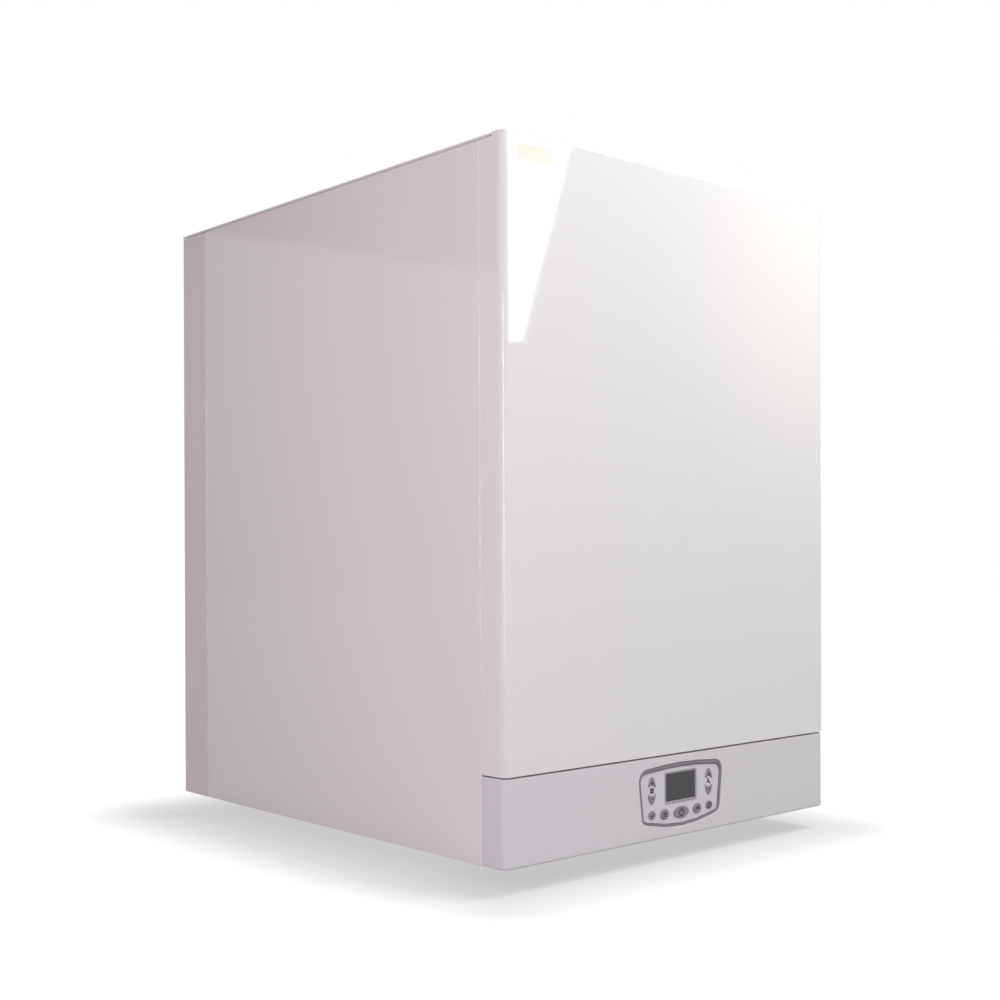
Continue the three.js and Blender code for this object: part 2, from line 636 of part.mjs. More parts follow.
// Moves each side of a closed outline, drawn anticlockwise, inwards.
function insetOutline(outline, inset) {
  if (!inset) return outline;
  const points = vectors(outline);
  return points.map((point, i) => {
    const last = points[(i + points.length - 1) % points.length];
    const next = points[(i + 1) % points.length];
    const before = point.clone().sub(last).normalize();
    const after = next.clone().sub(point).normalize();
    const left = new THREE.Vector3(-before.y - after.y, before.x + after.x, 0).normalize();
    const scale = inset / left.dot(new THREE.Vector3(-before.y, before.x, 0));
    return [point.x + left.x * scale, point.y + left.y * scale];
  });
}

function makeFascia() {
  const wide = half - fascia.inset;
  const levels = [
    [0, fascia.edge], [fascia.edge * 0.3, fascia.edge * 0.3], [fascia.edge, 0],
    [fascia.top - fascia.edge, 0], [fascia.top - fascia.edge * 0.3, fascia.edge * 0.3],
      [fascia.top, fascia.edge],
  ];
  const rings = levels.map(([z, draw]) => wrapOutline(
    wide - draw, fasciaFront + draw, coverBack + fit.overrun, fascia.corner - draw,
  ).map(([x, y]) => new THREE.Vector3(x, y, z)));
  const outside = skin(rings);
  const hollow = slab(
    "z",
    wrapOutline(
      wide - fascia.wall, fasciaFront + fascia.wall, coverBack + fit.overrun * 2,
        fascia.corner - fascia.wall,
    ),
    fascia.wall,
    fascia.top - fascia.wall,
  );
  const behind = block(
    [-half, coverBack, -fit.embed],
    [half, coverBack + fit.overrun * 3, fascia.top + fit.embed],
  );
  const boxClear = block(
    [-boxHalf - fit.running, boxFront - fit.running, -fit.embed],
    [boxHalf + fit.running, coverBack + fit.overrun, fascia.top - fascia.wall],
  );
  const window = slab("y", shieldOutline(-fit.gap), fasciaFront - fit.overrun,
    fasciaFront + fit.overrun * 2);
  const posts = [-1, 1].flatMap((side) => [box.bottom, box.top].map((z) => {
    const lift = z === box.bottom ? fascia.postInset : -fascia.postInset;
    const length = boxFront - fit.gap - fasciaFront - fascia.wall / 2;
    return rod(
      "y", [side * (boxHalf - fascia.postInset), fasciaFront + fascia.wall / 2, z + lift],
      fascia.post, length, facets.small,
    );
  }));
  return join(cut(outside, hollow, behind, boxClear, window), ...posts);
}

function makeBezelRing() {
  const face = fasciaFront + bezel.recess;
  const outline = shieldOutline(0);
  const opening = openingOutline(bezel.ring);
  const mouth = openingOutline(bezel.ring - bezel.lean);
  const rings = [
    [outline, face + bezel.depth], [outline, face], [mouth, face],
    [opening, face + keypad.recess - bezel.recess], [opening, face + bezel.depth],
  ].map(([points, y]) => points.map(([x, z]) => new THREE.Vector3(x, y, z)));
  return skin(rings, true);
}

// A half ellipse cut across its foot by a round hollow; the lower one of a pair is turned round.
function crescentOutline(up, grow) {
  const tilt = Math.asin(crescent.near / crescent.tall);
  const dome = Array.from({ length: facets.outline + 1 }, (_, i) => {
    const angle = tilt + (i / facets.outline) * (Math.PI - 2 * tilt);
    return [crescent.half * Math.cos(angle), crescent.tall * Math.sin(angle)];
  });
  const centre = crescent.near - Math.sqrt(crescent.hollow ** 2 - dome[0][0] ** 2);
  const start = Math.atan2(crescent.near - centre, -dome[0][0]);
  const count = facets.corner;
  const hollow = Array.from({ length: count - 1 }, (_, i) => {
    const angle = start + ((i + 1) / count) * (Math.PI - 2 * start);
    return [crescent.hollow * Math.cos(angle), centre + crescent.hollow * Math.sin(angle)];
  });
  const points = insetOutline([...dome, ...hollow], -grow);
  return up ? points : points.map(([u, v]) => [-u, -v]);
}

function buttonOutlines() {
  const list = {};
  const pairs = [["hot_water", -1], ["heating", 1]];
  pairs.forEach(([circuit, side]) => [true, false].forEach((up) => {
    list[`${circuit}_${up ? "up" : "down"}_button`] = (grow) => crescentOutline(up, grow)
      .map(([u, v]) => [u + side * crescent.centreX, v + crescent.centreZ]);
  }));
  Object.entries(ovals).forEach(([name, { x, z, width, height }]) => {
    list[name] = (grow) => ellipse(x, z, width / 2 + grow, height / 2 + grow);
  });
  return list;
}

const keypadFace = fasciaFront + keypad.recess;
const keypadBack = keypadFace + keypad.sheet;

function makeButton(outline) {
  const tip = keypadFace - button.stand;
  const end = tip + button.reach;
  const flange = keypadBack + fit.gap;
  const rings = [
    [outline(-button.dome * 2), tip], [outline(-button.dome), tip + button.dome / 3],
    [outline(0), tip + button.dome * 1.5], [outline(0), end],
  ].map(([points, y]) => points.map(([x, z]) => new THREE.Vector3(x, y, z)));
  return join(skin(rings), slab("y", outline(button.flange), flange, flange + button.flangeSheet));
}

function displayRectangle(grow) {
  return rectangle(
    -display.width / 2 - grow, display.width / 2 + grow,
    display.centre - display.height / 2 - grow, display.centre + display.height / 2 + grow,
  );
}

function makeKeypadPlate() {
  const plate = slab("y", openingOutline(bezel.ring + fit.gap), keypadFace, keypadBack);
  const holes = Object.values(buttonOutlines()).map((outline) => (
    slab("y", outline(button.clearance), keypadFace - fit.overrun, keypadBack + fit.overrun)
  ));
  const window = slab(
    "y", softOutline(displayRectangle(fit.gap), display.corner, facets.bend),
    keypadFace - fit.overrun, keypadBack + fit.overrun,
  );
  return cut(plate, window, ...holes);
}

function makeDisplayFrame() {
  const face = fasciaFront + display.recess;
  const rim = softOutline(displayRectangle(0), display.corner, facets.bend);
  const mouth = softOutline(displayRectangle(-display.border), display.corner / 2, facets.bend);
  const slope = softOutline(displayRectangle(-display.border / 3), display.corner, facets.bend);
  const glassFace = fasciaFront + display.glassRecess;
  const rings = [
    [rim, face + display.depth], [rim, face], [slope, face], [mouth, glassFace],
      [mouth, face + display.depth],
  ].map(([points, y]) => points.map(([x, z]) => new THREE.Vector3(x, y, z)));
  return skin(rings, true);
}

function makeDisplayGlass() {
  const face = fasciaFront + display.glassRecess;
  return slab(
    "y", softOutline(displayRectangle(-display.border - fit.gap), display.corner / 2, facets.bend),
    face + fit.gap, face + fit.gap + display.glass,
  );
}

const boardBack = boxFront - fit.gap;
const boardFace = boardBack - board.sheet;

function makeDisplayBoard() {
  const plate = block([-board.half, boardFace, board.bottom], [board.half, boardBack, board.top]);
  const glassBack = fasciaFront + display.glassRecess + fit.gap + display.glass;
  const grown = -display.border - fit.running;
  const [[u0, v0], , [u1, v1]] = displayRectangle(grown);
  const module = block([u0, glassBack + fit.gap, v0], [u1, boardFace + fit.embed / 2, v1]);
  const switches = Object.values(buttonOutlines()).map((outline) => {
    const points = outline(0);
    const x = points.reduce((sum, [u]) => sum + u, 0) / points.length;
    const z = points.reduce((sum, [, v]) => sum + v, 0) / points.length;
    const reach = board.switchSize / 2;
    return block(
      [x - reach, boardFace - board.switchHeight, z - reach],
      [x + reach, boardFace + fit.embed / 2, z + reach],
    );
  });
  return join(plate, module, ...switches);
}

function makeControlBox() {
  const outside = block([-boxHalf, boxFront, box.bottom], [boxHalf, boxBack, box.top]);
  const hollow = block(
    [-boxHalf + box.wall, boxFront + box.wall, box.bottom + box.wall],
    [boxHalf - box.wall, boxBack - box.wall, box.top + fit.overrun],
  );
  const pillars = [-1, 1].flatMap((side) => [boxFront, boxBack].map((y) => {
    const away = y === boxFront ? mainBoard.inset : -mainBoard.inset;
    return rod(
      "z", [side * (boxHalf - mainBoard.inset * 2), y + away, box.bottom + box.wall / 2],
      box.post, mainBoard.rise + box.wall / 2, facets.small,
    );
  }));
  const arms = [-1, 1].flatMap((side) => {
    const armOut = side * (boxHalf + hinge.arm);
    const arm = slab("x", softOutline(
      rectangle(boxBack - hinge.armRound * 3, hingeY + hinge.armRound, box.bottom,
        hinge.height + hinge.armRound),
      [0, hinge.armRound / 4, hinge.armRound, 0],
      facets.bend,
    ), side * (boxHalf - box.wall), armOut);
    const pin = rod(side < 0 ? "-x" : "x", [armOut - side * fit.embed, hingeY, hinge.height], hinge.pin,
      hinge.pinReach + fit.embed, facets.round);
    return [arm, pin];
  });
  return join(cut(outside, hollow), ...pillars, ...arms);
}

function makeControlBoxCover() {
  const low = box.top + fit.gap;
  const edge = boxHalf;
  const plate = block([-edge, boxFront, low], [edge, boxBack, low + box.lidSheet]);
  const reach = boxHalf - box.wall - fit.gap;
  const lipOut = slab("z", rectangle(
    -reach, reach, boxFront + box.wall + fit.gap, boxBack - box.wall - fit.gap,
  ), low - box.wall, low + box.lidSheet / 2);
  const lipIn = slab("z", rectangle(
    -reach + box.wall, reach - box.wall, boxFront + box.wall * 2, boxBack - box.wall * 2,
  ), low - box.wall - fit.embed, low);
  return join(plate, cut(lipOut, lipIn));
}

function makeMainBoard() {
  const edge = mainBoard.inset / 2;
  const low = box.bottom + box.wall + mainBoard.rise + fit.gap;
  const x = boxHalf - edge * 2;
  const y0 = boxFront + box.wall + edge;
  const y1 = boxBack - box.wall - edge;
  const plate = block([-x, y0, low], [x, y1, low + mainBoard.sheet]);
  const seat = low + mainBoard.sheet / 2;
  const parts = [];
  const middle = (y0 + y1) / 2;
  const transformerHalf = mainBoard.transformer / 2;
  parts.push(block(
    [x - edge - mainBoard.transformer, middle - transformerHalf, seat],
    [x - edge, middle + transformerHalf, seat + mainBoard.transformerHeight],
  ));
  const relays = 5;
  for (let i = 0; i < relays; i += 1) {
    const left = -x + edge + i * mainBoard.relay * 1.4;
    parts.push(block([left, y1 - edge - mainBoard.relay, seat], [left + mainBoard.relay, y1 - edge, seat
      + mainBoard.relayHeight]));
  }
  const plugs = 6;
  for (let i = 0; i < plugs; i += 1) {
    const left = -x + edge + i * mainBoard.plugWidth * 1.25;
    parts.push(block(
      [left, y0 + edge / 2, seat],
      [left + mainBoard.plugWidth, y0 + edge / 2 + mainBoard.plugDepth, seat + mainBoard.plugHeight],
    ));
  }
  return join(plate, ...parts);
}

// Heat exchanger and burner

function alongExchanger(distance) {
  return exchangerRear - distance;
}

function shellProfile() {
  const { radius, flange, flangeSheet, bore, endWall, rib, ribWidth, ribs, edge } = exchanger;
  const length = exchangerLength;
  const profile = [[0, 0], [radius - edge, 0], [radius - edge / 3, edge / 3], [radius, edge]];
  const spacing = (length - flangeSheet - edge * 2) / ribs;
  for (let i = 0; i < ribs; i += 1) {
    const start = edge + spacing * (i + 1 / 2) - ribWidth / 2;
    profile.push([radius, start], [radius + rib, start + rib], [radius + rib, start + ribWidth - rib],
      [radius, start + ribWidth]);
  }
  profile.push([radius, length - flangeSheet], [flange, length - flangeSheet], [flange, length],
    [bore, length], [bore, endWall], [0, endWall]);
  return profile;
}

// Places where water pipes and the vent meet the shell.
const bosses = {
  flow: { side: -1, z: exchanger.height + shellRadius * shares.riseShare, y: -flow.y },
  back: { side: 1, z: exchanger.height - shellRadius * shares.dropShare, y: -returnPipe.y },
};

function bossFace({ side, z }) {
  const offset = z - exchanger.height;
  const wall = Math.sqrt(exchanger.radius ** 2 - offset ** 2);
  return exchangerX + side * (wall + exchanger.bossReach + exchanger.rib);
}

function makeExchangerShell() {
  const body = turned("-y", [exchangerX, exchangerRear, exchanger.height], shellProfile(), facets.drum);
  const spigots = Object.values(bosses).map((boss) => {
    const face = bossFace(boss);
    return rod(boss.side < 0 ? "x" : "-x", [face, boss.y, boss.z], exchanger.bossRadius, exchanger.bossIn);
  });
  const top = exchanger.height + shell + exchanger.bossReach;
  const ventBoss = rod("-z", [exchangerX, exchangerRear - vent.side, top], vent.radius, exchanger.bossIn);
  return join(body, ...spigots, ventBoss);
}

// One unbroken helix of flattened tube, which the chamber's wall holds all round.
const coilOuter = exchanger.bore * Math.cos(Math.PI / facets.drum) - fit.gap;
const coilWidth = (coilOuter - coil.inner) / 2;
const coilPitch = (exchangerLength - coil.rear - coil.frontRoom) / coil.turns;
const coilHalf = (coilPitch / 2) * shares.turnShare;

function coilCentre(turn) {
  const angle = turn * 2 * Math.PI;
  const radius = coil.inner + coilWidth;
  return new THREE.Vector3(
    exchangerX + radius * Math.cos(angle),
    alongExchanger(coil.rear + turn * coilPitch),
    exchanger.height + radius * Math.sin(angle),
  );
}

function makeCoil() {
  const count = coil.turns * coil.steps;
  const rings = Array.from({ length: count + 1 }, (_, i) => {
    const turn = i / coil.steps;
    const centre = coilCentre(turn);
    const out = new THREE.Vector3(centre.x - exchangerX, 0, centre.z - exchanger.height).normalize();
    const along = new THREE.Vector3(0, 1, 0);
    return Array.from({ length: coil.sides }, (unused, j) => {
      const angle = (j / coil.sides) * 2 * Math.PI;
      return centre.clone()
        .addScaledVector(out, coilWidth * Math.cos(angle))
        .addScaledVector(along, coilHalf * Math.sin(angle));
    });
  });
  tellGap("heat exchanger coil", rings, coil.steps / 2);
  return skin(rings);
}

// Two arms on a plate, welded to the back panel, with their tops cut to the round of the shell.
function makeCradle() {
  const back = backFace + backPanel.sheet / 2;
  const reach = exchangerRear - cradle.reach;
  const saddle = rod("-y", [exchangerX, backFace - cradle.plate, exchanger.height], shell + fit.gap,
    exchanger.rear + cradle.reach, facets.drum * 2);
  const drop = Math.sqrt(shell ** 2 - cradle.offset ** 2);
  const low = exchanger.height - drop - cradle.depth;
  const arms = [-1, 1].map((side) => {
    const x = exchangerX + side * cradle.offset;
    return slab("x", [
      [back, low - cradle.plateDrop], [reach, low + cradle.depth / 2],
      [reach, exchanger.height - drop + cradle.depth / 2],
        [back, exchanger.height - drop + cradle.depth / 2],
    ], x - cradle.width / 2, x + cradle.width / 2);
  });
  const plate = block(
    [exchangerX - cradle.offset - cradle.width, back, low - cradle.plateDrop],
    [exchangerX + cradle.offset + cradle.width, backFace - cradle.plate, exchanger.height],
  );
  return join(cut(join(...arms), saddle), plate);
}

function makeSump() {
  const rear = exchangerRear - sump.rearGap;
  const body = block(
    [exchangerX - sump.half, rear, sumpLow],
    [exchangerX + sump.half, rear - sump.length, exchanger.height - shell / 2],
  );
  const saddle = rod("-y", [exchangerX, 0, exchanger.height], shell + fit.gap, casing.depth,
    facets.drum * 2);
  const spigot = rod("x", [exchangerX, flueY, spigotZ], sump.spigotRadius, sump.half + sump.spigotReach);
  const drainPipe = rod("-z", [exchangerX, siphonY, sumpLow + fit.embed],
    sump.drainRadius, sump.drainDrop + fit.embed);
  return cut(join(body, spigot, drainPipe), saddle);
}

const electrodeRise = door.channelHalf + door.rimHeight + electrode.aboveDoor + electrode.plateHigh / 2;

function electrodeHole(reach) {
  return rod(
    "-y", [exchangerX + electrode.offsetX, exchangerFront + reach, exchanger.height + electrodeRise],
    electrode.radius + fit.gap, reach * 2, facets.small,
  );
}

function makeBurnerDoor() {
  const face = exchangerFront - fit.gap;
  const disc = turned("-y", [exchangerX, face, exchanger.height], [
    [0, 0], [exchanger.flange, 0], [exchanger.flange, door.sheet - door.rimHeight],
    [exchanger.flange - door.rim / 2, door.sheet],
    [exchanger.flange - door.rim * 2, door.sheet],
      [exchanger.flange - door.rim * 2.5, door.sheet - door.rimHeight],
    [0, door.sheet - door.rimHeight],
  ], facets.drum);
  const faceX = doorSide;
  const channelTop = exchanger.height + door.channelHalf;
  const channelLow = exchanger.height - door.channelHalf;
  const outline = softOutline(
    [[exchangerX - door.channelHalf, channelLow], [faceX - door.flangeSheet / 2, channelLow],
      [faceX - door.flangeSheet / 2, channelTop], [exchangerX - door.channelHalf, channelTop]],
    [door.channelHalf - fit.embed, 0, 0, door.channelHalf - fit.embed],
  );
  const root = face - door.sheet + door.rimHeight + fit.embed;
  const channel = slab("y", outline, root, doorFront - door.channelDepth);
  const shoulder = slab("y", insetOutline(outline, -door.rimHeight), root, doorFront - door.rim);
  const flange = block(
    [faceX - door.flangeSheet, root, exchanger.height - door.flangeHalf],
    [faceX, doorFront - door.channelDepth - door.rimHeight, exchanger.height + door.flangeHalf],
  );
  const trimmed = shoulder.intersect(block(
    [-half, 0, 0], [faceX - door.flangeSheet / 2, front, casing.height],
  ));
  return cut(join(disc, channel, trimmed, flange), electrodeHole(door.sheet * 2));
}

const burnerFlange = burner.radius + burner.flangeReach;

function makeInsulation() {
  const face = exchangerFront;
  const outer = exchanger.bore - insulation.edgeGap;
  const disc = ring("y", [exchangerX, face, exchanger.height], outer, burner.radius + fit.running,
    insulation.thickness, facets.drum);
  const recess = rod("y", [exchangerX, face - fit.embed, exchanger.height], burnerFlange + fit.running,
    burner.flangeSheet + fit.gap + fit.embed);
  return cut(disc, recess, electrodeHole(insulation.thickness * 2));
}

function makeBurner() {
  const { radius, flangeSheet, slots, slotWidth, groove } = burner;
  const flange = burnerFlange;
  const length = exchangerLength * shares.burnerLengthShare;
  const profile = [[0, 0], [flange, 0], [flange, flangeSheet], [radius, flangeSheet]];
  const clear = insulation.thickness + slotWidth;
  const spacing = (length - clear) / slots;
  for (let i = 0; i < slots; i += 1) {
    const start = clear + spacing * (i + 1 / 3);
    profile.push([radius, start], [radius - groove, start + groove], [radius - groove, start + slotWidth],
      [radius, start + slotWidth + groove]);
  }
  profile.push([radius, length - slotWidth], [radius - slotWidth, length], [0, length]);
  return turned("y", [exchangerX, exchangerFront, exchanger.height], profile);
}

function makeElectrode() {
  const x = exchangerX + electrode.offsetX;
  const z = exchanger.height + electrodeRise;
  const plateBack = exchangerFront - fit.gap - door.sheet + door.rimHeight - fit.gap;
  const plateFront = plateBack - electrode.plateSheet;
  const inside = exchangerFront + insulation.thickness;
  const stem = rod("y", [x, plateFront - electrode.head, z], electrode.radius,
    inside - plateFront + electrode.head,
    facets.small);
  const tip = rod("y", [x, inside - fit.embed, z], electrode.rod, electrode.reach, facets.small);
  const plate = slab(
    "y", softOutline(rectangle(
      x - electrode.plateWide / 2, x + electrode.plateWide / 2, z - electrode.plateHigh / 2,
      z + electrode.plateHigh / 2,
    ), electrode.radius, facets.bend),
    plateBack, plateFront,
  );
  return join(stem, tip, plate);
}

// Fan, mixer, gas and air
// The housing is a scroll whose radius grows once round from the tongue to the outlet.

function scrollOutline(inset) {
  const tongue = fan.startRadius;
  const full = tongue + fan.growth;
  const outletTop = fan.outlet - full;
  const start = Math.PI - Math.asin(outletTop / tongue);
  const sweep = start + Math.PI / 2;
  const count = facets.drum;
  const spiral = Array.from({ length: count + 1 }, (_, i) => {
    const share = i / count;
    const angle = start - share * sweep;
    const radius = tongue + fan.growth * share - inset;
    return [fanX + radius * Math.cos(angle), fanZ + radius * Math.sin(angle)];
  });
  const left = fanX - fan.outletReach - (inset ? fit.overrun : 0);
  const outlet = [[left, fanZ - full + inset], [left, fanZ + outletTop - inset]];
  return [...spiral, ...outlet];
}

function makeFanHousing() {
  const shellSolid = slab("y", scrollOutline(0), fanFront, fanRear);
  const hollow = slab("y", scrollOutline(fan.wall), fanFront + fan.wall, fanRear - fan.wall);
  const full = fan.startRadius + fan.growth;
  const left = fanX - fan.outletReach;
  const low = fanZ - full;
  const high = fanZ - full + fan.outlet;
  const rim = fan.flangeHalf;
  const flange = cut(
    block([left, fanFront - rim / 2, low - rim], [left + fan.wall, fanRear, high + rim]),
    block([left - fit.embed, fanFront + fan.wall, low + fan.wall],
      [left + fan.wall + fit.embed, fanRear - fan.wall,
      high - fan.wall]),
  );
  const eye = rod("y", [fanX, fanRear - fan.wall - fit.embed, fanZ], fan.eye, fan.wall + fit.overrun * 2);
  const shaftHole = rod("-y", [fanX, fanFront + fan.wall + fit.embed, fanZ], impeller.hub + fit.running,
    fan.wall + fit.overrun * 2);
  return cut(join(cut(shellSolid, hollow), flange), eye, shaftHole);
}

// Backward-curved blades between a hub disc and an inlet ring, on a shaft that runs in the motor.
function makeImpeller() {
  const discFace = fanFront + fan.wall + (fan.depth - fan.wall * 2 - impeller.depth) / 2;
  const disc = rod("y", [fanX, discFace, fanZ], impeller.radius, impeller.disc, facets.drum);
  const inlet = ring("y", [fanX, discFace + impeller.depth - impeller.ring, fanZ], impeller.radius,
    impeller.ringInner, impeller.ring, facets.drum);
  const hub = rod("y", [fanX, discFace - fit.overrun, fanZ], impeller.hub, impeller.disc + fit.overrun * 3);
  const shaft = rod("-y", [fanX, discFace, fanZ], impeller.shaft, impeller.shaftReach + fan.wall,
    facets.small);
  const outerEdge = impeller.radius - fit.embed / 2;
  const blades = Array.from({ length: impeller.blades }, (_, i) => {
    const start = (i / impeller.blades) * 2 * Math.PI;
    const middle = (impeller.bladeInner + outerEdge) / 2;
    const line = [[impeller.bladeInner, 0], [middle, impeller.sweep * 0.62], [outerEdge, impeller.sweep]];
    const face = line.map(([radius, turn]) => [
      fanX + radius * Math.cos(start + turn), fanZ + radius * Math.sin(start + turn),
    ]);
    const back = line.map(([radius, turn]) => {
      const lean = impeller.bladeSheet / radius;
      return [fanX + radius * Math.cos(start + turn + lean), fanZ + radius * Math.sin(start + turn + lean)];
    });
    return slab("y", [...face, ...back.reverse()], discFace + impeller.disc / 2,
      discFace + impeller.depth - impeller.ring / 2);
  });
  return join(disc, inlet, hub, shaft, ...blades);
}

function makeFanMotor() {
  const face = fanFront - fit.gap;
  const { radius, length, flange, flangeSheet, bore } = motor;
  const deep = length - flangeSheet * 2;
  const body = turned("-y", [fanX, face, fanZ], [
    [bore, 0], [flange, 0], [flange, flangeSheet], [radius, flangeSheet], [radius, length - flangeSheet],
    [radius - flangeSheet, length], [0, length], [0, deep], [bore, deep], [bore, 0],
  ]);
  const grooves = Array.from({ length: motor.ribs }, (_, i) => {
    const angle = (i / motor.ribs) * 2 * Math.PI;
    return rod(
      "-y", [fanX + radius * Math.cos(angle), face - length + flangeSheet * 2,
        fanZ + radius * Math.sin(angle)],
      motor.ribDepth, length, 6,
    );
  });
  const plug = block(
    [fanX - motor.plug / 2, face - length / 2, fanZ + radius - motor.ribDepth * 2],
    [fanX + motor.plug / 2, face - length + flangeSheet, fanZ + radius + motor.plug / 2],
  );
  return join(cut(body, ...grooves), plug);
}

function makeMixer() {
  const start = fanRear + fit.gap;
  const { radius, throat, bore, length, band } = mixer;
  const body = turned("y", [fanX, start, fanZ], [
    [bore, 0], [radius, 0], [radius, band], [radius - band, band * 2], [radius - band, length - band * 2],
    [radius, length - band], [radius, length], [bore, length], [throat, length / 2], [bore, 0],
  ]);
  const port = rod("-z", [fanX, start + length / 2, fanZ - throat - band / 2], mixer.port,
    mixer.portReach - throat);
  return join(body, port);
}

const valveTop = fanZ - mixer.portReach - mixer.band / 2 - fit.gap;
const valveY = fanRear + fit.gap + mixer.length / 2;
const valveLow = valveTop - gasValve.height;

function makeGasValve() {
  const body = slab("z", softOutline(
    rectangle(fanX - gasValve.halfX, fanX + gasValve.halfX, valveY - gasValve.halfY,
      valveY + gasValve.halfY),
    gasValve.cap,
  ), valveLow + gasValve.coilHeight / 2, valveTop - gasValve.screw);
  const neck = rod("z", [fanX, valveY, valveTop - gasValve.screw - fit.embed], mixer.port,
    gasValve.screw + fit.embed);
  const inlet = rod("z", [fanX, valveY, valveLow], gasValve.inlet, gasValve.coilHeight / 2 + fit.embed);
  const coils = [-1, 1].map((side) => rod(
    "-y", [fanX + side * gasValve.coilRadius, valveY - gasValve.halfY + fit.embed,
      valveTop - gasValve.height / 3],
    gasValve.coilRadius - gasValve.cap / 2, gasValve.coilHeight / 2,
  ));
  const screw = rod("-y", [fanX, valveY - gasValve.halfY + fit.embed, valveLow + gasValve.height / 3],
    gasValve.screw, gasValve.screw + fit.embed, facets.small);
  return join(body, neck, inlet, ...coils, screw);
}

function makeGasPipe() {
  const top = valveLow - fit.gap;
  const kneeZ = Math.min(top - gasPipe.bend * 2, top - gasPipe.knee + gasPipe.bend * 2);
  return pipe([
    [fanX, valveY, top], [fanX, valveY, kneeZ], [gasPipe.x, -gasPipe.y, gasPipe.toe],
    [gasPipe.x, -gasPipe.y, connector.top + fit.gap],
  ], gasPipe.radius, gasPipe.bend);
}

const silencerTop = casing.height - lid.sheet - silencer.topGap;

// A moulded box on the mixer's inlet, with its neck up to the air collar.
function makeSilencer() {
  const length = silencerBack - silencerFront;
  const outline = softOutline(
    rectangle(fanX - silencer.halfX, fanX + silencer.halfX, fanZ - silencer.below, silencerTop),
    silencer.corner,
  );
  const body = slab("y", outline, silencerFront, silencerBack);
  const bands = Array.from({ length: silencer.ribs }, (_, i) => {
    const y = silencerFront + (length * (i + 1 / 2)) / silencer.ribs;
    return slab("y", insetOutline(outline, -silencer.rib), y - silencer.rib, y + silencer.rib);
  });
  const neck = rod("z", [fanX, airCollarY, silencerTop - fit.embed], silencer.spigot,
    collarLow - fit.gap - silencerTop + fit.embed);
  const passage = rod("y", [fanX, silencerFront - fit.overrun, fanZ], silencer.neck, length / 2);
  const riser = rod("z", [fanX, airCollarY, fanZ], silencer.riser, casing.height - fanZ, facets.round);
  return cut(join(body, ...bands, neck), passage, riser);
}

// A socket on the lid: a tube with a shoulder inside, and a flange that lies on the sheet.
function makeCollar(x, y) {
  const { radius, wall, height, flange, flangeSheet, shoulder, stop } = collar;
  const flangeLow = casing.height + fit.gap - collarLow;
  const top = casing.height + height - collarLow;
  const bore = radius - wall;
  return turned("z", [x, y, collarLow], [
    [radius - wall - shoulder, 0], [radius, 0], [radius, flangeLow], [flange, flangeLow],
    [flange, flangeLow + flangeSheet], [radius, flangeLow + flangeSheet], [radius, top - wall],
    [radius + wall, top - wall], [radius + wall, top], [bore, top], [bore, stop], [bore - shoulder, stop],
    [radius - wall - shoulder, 0],
  ], facets.collar);
}

function makeFlueDuct() {
  const z = spigotZ;
  const start = exchangerX + sump.half + sump.spigotReach + fit.gap;
  const top = collarLow - fit.gap;
  return pipe([[start, flueY, z], [flueX, flueY, z], [flueX, flueY, top]], collar.radius, flue.bend,
    facets.round);
}

// Water side

// A bored stub through the base, with a hexagon nut resting on the panel.
function makeStub({ x, y, radius }, top = connector.top) {
  const low = -connector.drop;
  const nutLow = baseTop + fit.gap;
  const tube = rod("z", [x, y, low], radius, top - low);
  const nut = slab("z", hexagon(x, y, radius + connector.nut), nutLow, nutLow + connector.nutHeight);
  const bore = rod("z", [x, y, low - fit.overrun], radius - connector.wall, top - low + fit.overrun * 2);
  return cut(join(tube, nut), bore);
}

// The return's stub reaches the pump and carries the drain valve, whose bore stays closed.
function makeReturnConnector() {
  const { x, y, radius } = stubs.return;
  const { boss, body, bodyLength, outlet, outletGap, spindle, spindleReach } = drain;
  const start = y - radius + connector.wall / 2;
  const face = drainFace + fit.gap;
  const neck = rod("-y", [x, start, drainZ], boss, start - face + fit.embed, facets.pipe);
  const barrel = rod("-y", [x, face, drainZ], body, bodyLength + fit.gap);
  const mouth = rod("-z", [x, face - bodyLength / 2, drainZ], outlet, drainZ - baseTop - outletGap,
    facets.small);
  const stem = rod("-y", [x, face - bodyLength, drainZ], spindle, spindleReach, facets.small);
  return join(makeStub(stubs.return, pumpLow - fit.gap), neck, barrel, mouth, stem);
}

function makeFlowPipe() {
  const { z } = bosses.flow;
  const start = bossFace(bosses.flow) - fit.gap;
  const line = pipe([
    [start, -flow.y, z], [flowX, -flow.y, z], [flowX, -flow.y, flow.knee + flow.bend * 2],
    [flow.exitX, -flow.exitY, flow.knee - flow.bend], [flow.exitX, -flow.exitY, connector.top + fit.gap],
  ], flow.radius, flow.bend);
  const tee = rod("-y", [flowX, -flow.y, safety.height], safety.tee, flow.radius + safety.seatLength);
  return join(line, tee);
}

const pumpTop = pump.height + pump.reach;
const pumpLow = pump.height - pump.reach;
const drainZ = baseTop + (pumpLow - baseTop) * shares.drainShare;
const pocketZ = (pumpTop + bosses.back.z) / 2;

function makeReturnPipe() {
  const { z } = bosses.back;
  const end = bossFace(bosses.back) + fit.gap;
  const line = pipe([[returnPipe.x, -returnPipe.y, pumpTop + fit.gap], [returnPipe.x, -returnPipe.y, z],
    [end, -returnPipe.y, z]], flow.radius, returnPipe.bend);
  const boss = rod("-y", [returnPipe.x, -returnPipe.y, pocketZ], pocket.boss,
    flow.radius + pocket.bossReach, facets.small);
  const plug = rod("-y", [returnPipe.x, -returnPipe.y, pocketZ], pocket.plug,
    flow.radius + pocket.plugReach, 6);
  return join(line, boss, plug);
}

